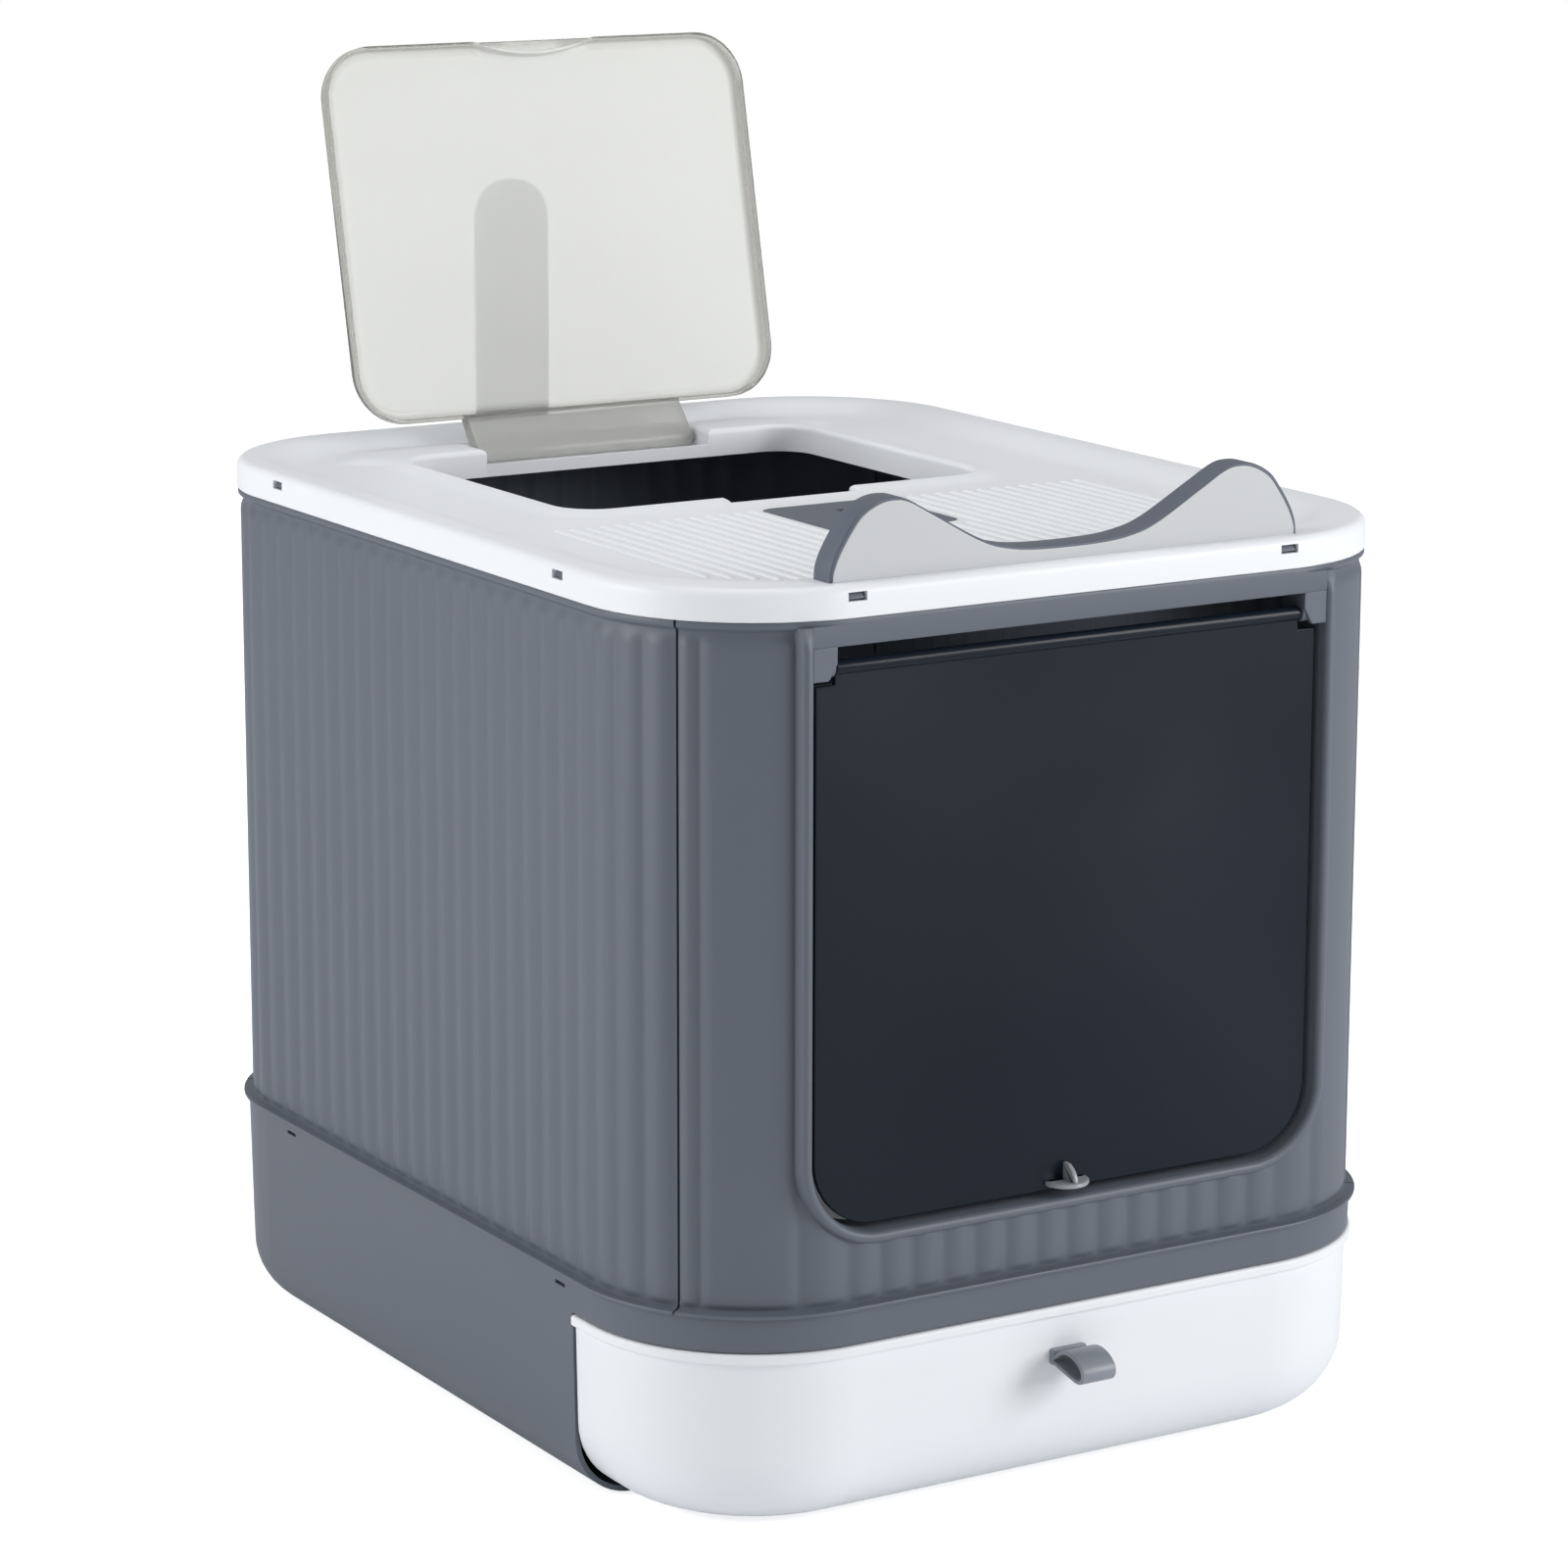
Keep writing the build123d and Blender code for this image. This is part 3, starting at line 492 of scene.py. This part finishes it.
# flap: a plate with rounded edges, ears cut round the lugs, and a barrel with pins along its top
fh, fr = flap["half"] - flap["round"], flap["low"] + flap["round"]
sheet = np.vstack([[(-flap["half"], flap["earZ"])], arc(-fh, fr, flap["round"], 180, 270, 24),
                   arc(fh, fr, flap["round"], 270, 360, 24), [(flap["half"], flap["earZ"])],
                   [(flap["neck"], flap["earZ"]), (flap["neck"], flap["axisZ"]),
                    (-flap["neck"], flap["axisZ"]), (-flap["neck"], flap["earZ"])]])
rows = plateRows(sheet, flap["axisY"] - flap["thick"] / 2, flap["axisY"] + flap["thick"] / 2, 0.7)
patches = [closed(placed(rows, (0, 2, 1)))]
for radius, end in ((flap["barrel"], flap["neck"]), (flap["pin"], flap["pinEnd"])):
    rows = plateRows(arc(flap["axisY"], flap["axisZ"], radius, 0, 345, 24), -end, end, 0.5)
    patches.append(closed(placed(rows, (2, 0, 1))))
addPiece("flapSheet", patches, "flap", "dark_smoke", ["flap"])

# lifting tab: a half-round shelf and a fin on it, both with rounded edges
tab = {"reach": 10.9, "low": 145.2, "thick": 2.2, "fin": 2.6, "finHigh": 9.0, "faceY": -246.6}
shelf = np.vstack([arc(0, 0, tab["reach"], 180, 360, 28), [(tab["reach"], 0.6), (-tab["reach"], 0.6)]])
rows = plateRows(shelf, tab["low"], tab["low"] + tab["thick"], 0.9)
patches = [closed(placed(rows, (0, 1, 2), (0, tab["faceY"], 0)))]
fin = np.vstack([[(0.6, 0.0), (0.6, tab["finHigh"])],
                 curveThrough([(-0.8, 9.0), (-3.6, 8.5), (-6.6, 6.3), (-8.6, 3.4), (-9.4, 0.6)], 6),
                 [(-9.4, 0.0)]])
rows = plateRows(fin[::-1], -tab["fin"] / 2, tab["fin"] / 2, 0.9)
patches.append(closed(placed(rows, (2, 0, 1), (0, tab["faceY"], tab["low"] + 1.0))))
addPiece("flapTab", patches, "flap", "clear_grey", ["flap_tab"])
print("flap made")

# cover: rows run up the opening's wall, over its rim, across the dished deck and down the skirt
cover = {"deckZ": 430.5, "shelfZ": 424.4, "crestZ": 426.6, "skirtZ": 416.1, "wallZ": 412.8, "rim": 2.6,
         "edge": 4.2, "thick": 2.2, "centreY": 88.0, "holeHalf": 115.0, "holeY0": -4.0, "holeY1": 180.0,
         "holeR": 20.0, "notchHalf": 35.0, "notchDeep": 8.0, "troughHalf": 64.5, "troughY": 204.9}
# slopes of the deck, as distances in from the cover's edge (bank) and out from the opening (lip)
dish = {"frontFrom": 130, "frontTo": 230, "bankFoot": 36, "bankFootFront": 4, "bankTop": 11,
        "bankTopFront": 12, "behind": 12, "lipFoot": 18, "lipFootBehind": 24, "lipTop": 2, "lipTopBehind": 22}


# signed distance to a rounded rectangle, negative inside
def roundedDistance(p, middle, halfX, halfY, radius):
    q = np.abs(p - np.array(middle)) - (np.array([halfX, halfY]) - radius)
    return np.linalg.norm(np.maximum(q, 0), axis=-1) + np.minimum(q.max(-1), 0) - radius


# deck height: a shelf, a bank that rises to the outer edge, and a lip that rises to the opening
def deckHeight(p):
    inside = -roundedDistance(p, (0, 0), walls["halfX"], walls["halfY"], walls["corner"])
    front = smooth(-p[..., 1], dish["frontFrom"], dish["frontTo"])
    bank = smooth(-inside, -(dish["bankFoot"] + dish["bankFootFront"] * front),
                  -(dish["bankTop"] + dish["bankTopFront"] * front))
    y0, y1 = cover["holeY0"], cover["holeY1"]
    away = roundedDistance(p, (0, (y0 + y1) / 2), cover["holeHalf"], (y1 - y0) / 2, cover["holeR"])
    behind = smooth(p[..., 1], y1 - dish["behind"], y1 + dish["behind"])
    lip = smooth(-away, -(dish["lipFoot"] + dish["lipFootBehind"] * behind),
                 -(dish["lipTop"] + dish["lipTopBehind"] * behind))
    rise = ((cover["deckZ"] - cover["shelfZ"]) * bank) ** 3 + ((cover["crestZ"] - cover["shelfZ"]) * lip) ** 3
    return cover["shelfZ"] + np.cbrt(rise)


hx, hy0, hy1, hr = cover["holeHalf"], cover["holeY0"], cover["holeY1"], cover["holeR"]
th, ty, nh, nd = cover["troughHalf"], cover["troughY"], cover["notchHalf"], cover["notchDeep"]
mouth = np.vstack([arc(hx - hr, hy0 + hr, hr, -90, 0, 10), arc(hx - hr, hy1 - hr, hr, 0, 90, 10),
                   [(th, hy1), (th, ty), (-th, ty), (-th, hy1)], arc(hr - hx, hy1 - hr, hr, 90, 180, 10),
                   arc(hr - hx, hy0 + hr, hr, 180, 270, 10),
                   [(-nh, hy0), (-nh, hy0 - nd), (nh, hy0 - nd), (nh, hy0)]])
mouth = spread(mouth, 3.2)
centre = np.array([0, cover["centreY"]])
angle = np.unwrap(np.arctan2(*(mouth - centre).T[::-1]))
rimLine = spread(roundedOutline(walls["halfX"], walls["halfY"], walls["corner"], 40), 3.0)
rimAngle = np.unwrap(np.arctan2(*(rimLine - centre).T[::-1]))
order = np.argsort(rimAngle % (2 * np.pi))
far = np.interp(angle % (2 * np.pi), (rimAngle % (2 * np.pi))[order],
                np.linalg.norm(rimLine - centre, axis=1)[order], period=2 * np.pi)
heading = (mouth - centre) / np.linalg.norm(mouth - centre, axis=1, keepdims=True)
brink = centre + heading * far[:, None]
core = np.sign(brink) * np.maximum(np.abs(brink) - np.array([cornerX, cornerY]), 0)
brinkOut = core / np.linalg.norm(core, axis=1, keepdims=True)
mouthOut = -inwardOf(mouth)
a = np.linspace(0, np.pi / 2, 6)[:, None]
rimFoot = mouth + mouthOut * cover["rim"]
rimZ = deckHeight(rimFoot)
rows, levels = [mouth], [np.full(len(mouth), cover["wallZ"])]
for step in a[:-1]:
    rows.append(mouth + mouthOut * cover["rim"] * (1 - np.cos(step)))
    levels.append(rimZ - cover["rim"] * (1 - np.sin(step)))
deckEnd = brink - brinkOut * cover["edge"]
steps = smooth(np.linspace(0, 1, 46), -0.12, 1.12)
for t in (steps - steps[0]) / (steps[-1] - steps[0]):
    p = rimFoot + (deckEnd - rimFoot) * t
    rows.append(p)
    levels.append(deckHeight(p))
for step in a[1:]:
    rows.append(brink - brinkOut * cover["edge"] * (1 - np.sin(step)))
    levels.append(np.full(len(mouth), cover["deckZ"] - cover["edge"] * (1 - np.cos(step[0]))))
for z, inset in ((420.0, 0.0), (416.5, 0.0), (cover["skirtZ"], 0.35)):
    rows.append(brink - brinkOut * inset)
    levels.append(np.full(len(mouth), z))
deck = np.concatenate([np.array(rows), np.array(levels)[..., None]], -1)


# a box round a middle point as a closed patch, for the cuts
def boxPatch(x, y, halfX, halfY, ends):
    ring = np.array([(x - halfX, y - halfY), (x + halfX, y - halfY), (x + halfX, y + halfY),
                     (x - halfX, y + halfY)])
    return closed(np.stack([np.c_[ring, np.full(4, z)] for z in ends]))


# cuts in the cover: eight snap windows, and the seat of the insert plate
insert = {"halfX": 34.0, "halfY": 36.5, "middle": (0.0, -69.5), "round": 7.7, "topZ": 424.6, "lowZ": 422.6,
          "gap": 0.4, "holeY": 15.0, "holeR": 3.6}
window = {"sideY": 140.0, "endX": 114.5, "half": 4.7, "deep": 6.0, "ends": (423.4, 427.4)}
corners = [(s, t) for s in (-1, 1) for t in (-1, 1)]
cuts = [boxPatch(s * walls["halfX"], t * window["sideY"], window["deep"], window["half"], window["ends"])
        for s, t in corners]
cuts += [boxPatch(s * window["endX"], t * walls["halfY"], window["half"], window["deep"], window["ends"])
         for s, t in corners]
seat = roundedOutline(insert["halfX"] + insert["gap"], insert["halfY"] + insert["gap"],
                      insert["round"] + insert["gap"], 10, insert["middle"])
cuts.append(closed(np.stack([np.c_[seat, np.full(len(seat), z)] for z in (418.0, 432.0)])))
cutter = bpy.data.objects.new("coverCuts", patchMesh("coverCuts", cuts))
bpy.context.scene.collection.objects.link(cutter)
addPiece("coverShell", [{"points": deck, "closeCols": True}], "body", "white_shell", ["top_cover"],
         wall=cover["thick"], even=False, cutter=cutter)

# trough under the hinge, pocket under the insert plate, both moulded on the cover
gutter = np.array([(180.1, 419.0), (180.1, 412.8), (205.6, 412.8), (205.6, 415.0), (182.4, 415.0),
                   (182.4, 419.0)])
gutterHalf = 64.8
rows = plateRows(gutter, -gutterHalf, gutterHalf, 0.3)
patches = [closed(placed(rows, (2, 0, 1)))]
pocket = [(35.5, 38.0, 411.6), (35.5, 38.0, 422.2), (30.0, 32.5, 422.2), (30.0, 32.5, 414.0)]
rows = []
for halfX, halfY, z in pocket:
    ring = roundedOutline(halfX, halfY, 5.0, 8, insert["middle"])
    rows.append(np.c_[ring, np.full(len(ring), z)])
patches.append(closed(np.stack(rows)))
addPiece("coverHangings", patches, "body", "white_shell")

# snap tabs of the walls: a wedge (inset, height) standing in each window of the cover
wedge = np.array([(3.6, 427.0), (2.9, 426.9), (1.1, 424.9), (1.0, 424.4), (1.5, 424.0), (3.6, 424.0)])
rows = plateRows(wedge, -4.3, 4.3, 0.25)
inset, level, along = np.moveaxis(rows, -1, 0)
patches = []
for s, t in corners:
    patches.append(closed(np.stack([s * (walls["halfX"] - inset), t * window["sideY"] + along, level], -1)))
    patches.append(closed(np.stack([s * window["endX"] + along, t * (walls["halfY"] - inset), level], -1)))
addPiece("snapTabs", patches, "body", "grey_shell")

# landing ribs: rounded bars, half of an ellipse in section, that sink into the shelf at both ends
ribs = {"eachSide": 18, "pitch": 8.0, "half": 1.7, "high": 1.0, "sunk": 0.3, "tip": 3.0, "tipLift": 0.02,
        "front": -213.0, "bendX": 104, "bend": 0.95, "back": -36.0, "plateX": 38, "plateBack": -112.0}
patches = []
turn = np.linspace(0, np.pi, 9)
for i in range(-ribs["eachSide"], ribs["eachSide"] + 1):
    x = i * ribs["pitch"]
    front = ribs["front"] + max(0.0, abs(x) - ribs["bendX"]) * ribs["bend"]
    back = ribs["back"] if abs(x) > ribs["plateX"] else ribs["plateBack"]
    span = np.array([0, 0.6, 1.6, ribs["tip"]]) / (back - front)
    share = np.r_[span, np.linspace(0.05, 0.95, 10), 1 - span[::-1]]
    nearEnd = np.minimum(share, 1 - share) * (back - front)
    lift = np.sqrt(np.clip(nearEnd / ribs["tip"], ribs["tipLift"], 1))
    y = front + (back - front) * share
    height = cover["shelfZ"] - ribs["sunk"] + (ribs["high"] + ribs["sunk"]) * lift[:, None] * np.sin(turn)
    grid = np.stack([np.broadcast_to(x + ribs["half"] * np.cos(turn), height.shape),
                     np.broadcast_to(y[:, None], height.shape), height], -1)
    patches.append(closed(grid))
addPiece("landingRibs", patches, "body", "white_shell")

# insert plate: rings from its finger hole out over the rounded edge and back underneath
hole = np.array([0.0, insert["middle"][1] + insert["holeY"]])
holeR = insert["holeR"]
edge = spread(roundedOutline(insert["halfX"], insert["halfY"], insert["round"], 10, insert["middle"]), 4.0)
toward = (edge - hole) / np.linalg.norm(edge - hole, axis=1, keepdims=True)
inward = inwardOf(edge)
top, foot = insert["topZ"], insert["lowZ"]
rows = []
for radius, z in ((holeR, foot), (holeR, top - 0.5), (3.75, top - 0.15), (4.1, top), (5.0, top)):
    rows.append(np.c_[hole + toward * radius, np.full(len(edge), z)])
for inset, z in ((2.4, top), (0.9, top), (0.26, top - 0.26), (0.0, top - 0.9), (0.0, foot + 0.2),
                 (0.3, foot)):
    rows.append(np.c_[edge + inward * inset, np.full(len(edge), z)])
addPiece("insertPlate", [{"points": np.stack(rows), "closeCols": True, "closeRows": True}], "insert",
         "grey_trim", ["insert_plate"])
print("cover made")

# guard: a closed outline of two humps and a dip, given thickness with rounded edges, and an inlaid face
guard = {"half": 124.0, "high": 35.0, "deckZ": 430.3, "frontY": -243.0, "backY": -229.0, "round": 2.4,
         "rim": 1.5, "faceY": -243.25, "sunk": 1.6}
shares = [(1.0, 0.0), (0.994, 0.187), (0.97, 0.388), (0.923, 0.647), (0.876, 0.841), (0.805, 0.972),
          (0.74, 1.0), (0.68, 0.954), (0.579, 0.76), (0.38, 0.377), (0.258, 0.246), (0.115, 0.197)]


def guardOutline(rim):
    right = [(u * (guard["half"] - rim), max(0.0, h * guard["high"] - rim)) for u, h in shares]
    wave = curveThrough(right + [(-x, h) for x, h in reversed(right)], 8)
    return wave + np.array([0, guard["deckZ"]])


rows = plateRows(guardOutline(0), guard["frontY"], guard["backY"], guard["round"] / 2)
addPiece("guardBody", [closed(placed(rows, (0, 2, 1)))], "body", "grey_trim", ["fence"])
rows = plateRows(guardOutline(guard["rim"]), guard["faceY"], guard["frontY"] + guard["sunk"], 0.4)
addPiece("guardFace", [closed(placed(rows, (0, 2, 1)))], "body", "light_grey_plate", ["fence_face"])
print("guard made")

# lid, drawn shut about its hinge and then turned open: rings go from the outer face over the edge,
# down the rim, round its foot and up to the inner face; below the plate the rim dips in for a finger
# the last three numbers place the painted edge shade: where it fades out in from the lid's outline, and how
# much of it the hinge gets
lid = {"axis": (0.0, 196.0, 421.5), "turn": -102.3, "halfX": 121.0, "halfY": 95.0, "round": 27.0,
       "start": 19.0, "dipHalf": 33.0, "dip": 6.0, "dipFrom": -150, "knuckle": 62.0, "bar": 4.5, "pin": 2.4,
       "pinEnd": 66.7, "edgeShadeFrom": 0.6, "edgeShadeTo": 5.0, "hingeEdgeShade": 0.35}


# turns points drawn shut about the hinge to the open rest
def opened(points):
    a = math.radians(lid["turn"])
    x, y, z = np.moveaxis(points, -1, 0)
    turned = np.stack([x, y * math.cos(a) - z * math.sin(a), y * math.sin(a) + z * math.cos(a)], -1)
    return turned + np.array(lid["axis"])


middle = (0, -lid["start"] - lid["halfY"])
edge = spread(roundedOutline(lid["halfX"], lid["halfY"], lid["round"], 16, middle), 5.0)
inward = inwardOf(edge)
dip = lid["dip"] * np.clip(1 - (edge[:, 0] / lid["dipHalf"]) ** 2, 0, 1) * (edge[:, 1] < lid["dipFrom"])
dipped = edge + np.c_[np.zeros(len(edge)), dip]
rows = []
for inset, z in ((6.0, 12.5), (1.4, 12.5), (0.7, 12.3), (0.2, 11.8), (0.0, 11.1), (0.0, 10.5)):
    rows.append(np.c_[edge + inward * inset, np.full(len(edge), z)])
for inset, z in ((0.0, 10.2), (0.0, 5.8), (0.3, 5.3), (0.9, 5.2), (1.5, 5.4), (1.8, 5.9), (2.0, 9.4),
                 (2.4, 10.0), (3.2, 10.3), (7.0, 10.3)):
    rows.append(np.c_[dipped + inward * inset, np.full(len(edge), z)])
patches = [closed(opened(np.stack(rows)))]
plate = addPiece("lidPlate", patches, "lid", "clear_smoke", ["lid"])
# marks the rim for the painted edge shade: vertices turned shut again, by their distance in from the lid's
# outline
place = np.array([v.co for v in plate.data.vertices]) / mm - np.array(lid["axis"])
a = math.radians(-lid["turn"])
shut = np.c_[place[:, 0], place[:, 1] * math.cos(a) - place[:, 2] * math.sin(a)]
inside = -roundedDistance(shut, middle, lid["halfX"], lid["halfY"], lid["round"])
paintedEdgeShade = plate.data.attributes.new("rim", "FLOAT", "POINT")
paintedEdgeShade.data.foreach_set("value", 1 - smooth(inside, lid["edgeShadeFrom"], lid["edgeShadeTo"]))
teardrop = np.vstack([[(-19.0, 12.4), (-20.6, 12.0), (-20.6, 5.6), (-19.0, 5.3)],
                      arc(0, 0, lid["bar"], 243.6, 426.4, 20)])
rows = plateRows(teardrop, -lid["knuckle"], lid["knuckle"], 0.5)
patches = [closed(opened(placed(rows, (2, 0, 1))))]
for side in (-1, 1):
    rows = plateRows(arc(0, 0, lid["pin"], 0, 340, 18), lid["knuckle"] - 0.2, lid["pinEnd"], 0.4)
    rows[..., 2] *= side
    patches.append(closed(opened(placed(rows, (2, 0, 1)))))
hinge = addPiece("lidHinge", patches, "lid", "clear_smoke")
# the whole hinge gets part of the painted edge shade, darker and clearer all over, in place of the dark lines
# refraction draws in a clear barrel
paintedEdgeShade = hinge.data.attributes.new("rim", "FLOAT", "POINT")
paintedEdgeShade.data.foreach_set("value", np.full(len(hinge.data.vertices), lid["hingeEdgeShade"]))
print("lid made")

# pull: a rounded strip section carried round a closed loop, which leaves a mounting bar low, arches
# out, rounds a nose and runs back; drawn as distance from the drawer's face and height over the bar
pull = {"half": 9.3, "topZ": 69.3, "faceY": -249.45, "thick": 2.0, "barZ": -3.8}
loop = curveThrough([(0.2, -3.2), (-2.4, -2.8), (-4.8, -1.2), (-8.2, 1.0), (-12.6, 2.2), (-17.2, 1.9),
                     (-21.4, 0.5), (-24.8, -1.9), (-26.6, -4.9), (-26.4, -8.0), (-24.4, -10.3),
                     (-21.0, -10.9), (-16.0, -10.1), (-9.0, -8.6), (-3.0, -7.2), (0.2, -6.5)], 4)
inward = inwardOf(loop)
half, thick = pull["half"], pull["thick"]
band = [(half, 0.9), (half - 0.15, 0.4), (half - 0.5, 0.1), (half - 1.0, 0.0), (1.0 - half, 0.0),
        (0.5 - half, 0.1), (0.15 - half, 0.4), (-half, 0.9), (-half, thick - 0.8), (0.15 - half, thick - 0.4),
        (0.5 - half, thick - 0.1), (1.0 - half, thick), (half - 1.0, thick), (half - 0.5, thick - 0.1),
        (half - 0.15, thick - 0.4), (half, thick - 0.8)]
rows = np.stack([np.c_[np.full(len(loop), x), loop + inward * inset] for x, inset in band])
place = np.array((0, pull["faceY"], pull["topZ"]))
patches = [{"points": rows + place, "closeCols": True, "closeRows": True}]
rows = plateRows(roundedOutline(half + 0.1, 3.8, 1.2, 6, (0, pull["barZ"])), -3.0, 0.3, 0.7)
patches.append(closed(placed(rows, (0, 2, 1), place)))
# the pull wears the lighter copy of the grey plastic, with painted light in its colour
addPiece("drawerPull", patches, "drawer", "grey_trim", ["drawer_pull"], look="pull")
print("pull made")


# 1 where the camera sees a thing straight or through clear plastic, else 0
def seenDirect(tree):
    path = addNode(tree, "ShaderNodeLightPath")
    seen = addNode(tree, "ShaderNodeMath", {"operation": "MAXIMUM"}, {},
                   {0: path.outputs["Is Camera Ray"], 1: path.outputs["Is Transmission Ray"]})
    return seen.outputs[0]


# world and floor: plain white to the camera and through clear plastic, softer as a light
stage = {"half": 5.0, "colour": "#f6f7f9", "glow": 0.69, "room": 0.35}
world = bpy.data.worlds.new("studioRoom")
bpy.context.scene.world = world
tree = emptyTree(world)
room = addNode(tree, "ShaderNodeBackground", {}, {"Color": linear("#ffffff"), "Strength": stage["room"]})
white = addNode(tree, "ShaderNodeBackground", {}, {"Color": linear("#ffffff"), "Strength": 1.0})
both = addNode(tree, "ShaderNodeMixShader", {}, {},
               {0: seenDirect(tree), 1: room.outputs[0], 2: white.outputs[0]})
addNode(tree, "ShaderNodeOutputWorld", {}, {}, {"Surface": both.outputs[0]})

h = stage["half"]
floor = bpy.data.meshes.new("studioFloor")
floor.from_pydata([(-h, -h, 0), (h, -h, 0), (h, h, 0), (-h, h, 0)], [], [(0, 1, 2, 3)])
floorObject = bpy.data.objects.new("studioFloor", floor)
bpy.context.scene.collection.objects.link(floorObject)
paint = bpy.data.materials.new("paleStudioFloor")
tree = emptyTree(paint)
matt = addNode(tree, "ShaderNodeBsdfDiffuse", {}, {"Color": linear(stage["colour"])})
glow = addNode(tree, "ShaderNodeEmission", {}, {"Color": linear("#ffffff"), "Strength": stage["glow"]})
dark = addNode(tree, "ShaderNodeEmission", {}, {"Strength": 0.0})
lit = addNode(tree, "ShaderNodeMixShader", {}, {},
              {0: seenDirect(tree), 1: dark.outputs[0], 2: glow.outputs[0]})
total = addNode(tree, "ShaderNodeAddShader", {}, {}, {0: matt.outputs[0], 1: lit.outputs[0]})
addNode(tree, "ShaderNodeOutputMaterial", {}, {}, {"Surface": total.outputs[0]})
floor.materials.append(paint)

# soft boxes: place, aim, size in metres, power in watts
softBoxes = {
    "leftBox": {"place": (-2.8, 0.8, 1.2), "aim": (0, 0.1, 0.25), "size": 1.8, "power": 48},
    "frontBox": {"place": (1.9, -2.4, 1.2), "aim": (0, 0, 0.25), "size": 1.6, "power": 57},
    "topBox": {"place": (0, 0.3, 3.0), "aim": (0, 0, 0.4), "size": 2.2, "power": 21},
}
for name, box in softBoxes.items():
    lamp = bpy.data.lights.new(name, "AREA")
    lamp.size = box["size"]
    lamp.energy = box["power"]
    lampObject = bpy.data.objects.new(name, lamp)
    place = np.array(box["place"])
    back = (place - np.array(box["aim"])) / np.linalg.norm(place - np.array(box["aim"]))
    side = np.cross((0, 1, 0) if abs(back[2]) > 0.95 else (0, 0, 1), back)
    side = side / np.linalg.norm(side)
    turn = np.eye(4)
    turn[:3, 0], turn[:3, 1], turn[:3, 2], turn[:3, 3] = side, np.cross(back, side), back, place
    lampObject.matrix_world = Matrix(turn.tolist())
    bpy.context.scene.collection.objects.link(lampObject)

# camera solved from the photographed outlines: turn, tilt and roll in degrees
eye = {"place": (-1.25650, -2.07177, 0.82445), "turn": 31.25697, "tilt": 12.61949, "roll": 0.10472,
       "lens": 117.495}
turn, tilt, roll = (math.radians(eye[k]) for k in ("turn", "tilt", "roll"))
ahead = np.array([math.sin(turn) * math.cos(tilt), math.cos(turn) * math.cos(tilt), -math.sin(tilt)])
right = np.cross(ahead, (0, 0, 1))
right /= np.linalg.norm(right)
up = np.cross(right, ahead)
axes = np.eye(4)
axes[:3, 0] = math.cos(roll) * right + math.sin(roll) * up
axes[:3, 1] = -math.sin(roll) * right + math.cos(roll) * up
axes[:3, 2] = -ahead
axes[:3, 3] = eye["place"]
lens = bpy.data.cameras.new("photoCamera")
lens.lens = eye["lens"]
lens.sensor_width = 36
lens.clip_end = 50
cameraObject = bpy.data.objects.new("photoCamera", lens)
cameraObject.matrix_world = Matrix(axes.tolist())
bpy.context.scene.collection.objects.link(cameraObject)
bpy.context.scene.camera = cameraObject
bpy.context.scene.view_settings.view_transform = "Standard"
print("camera and lights set")
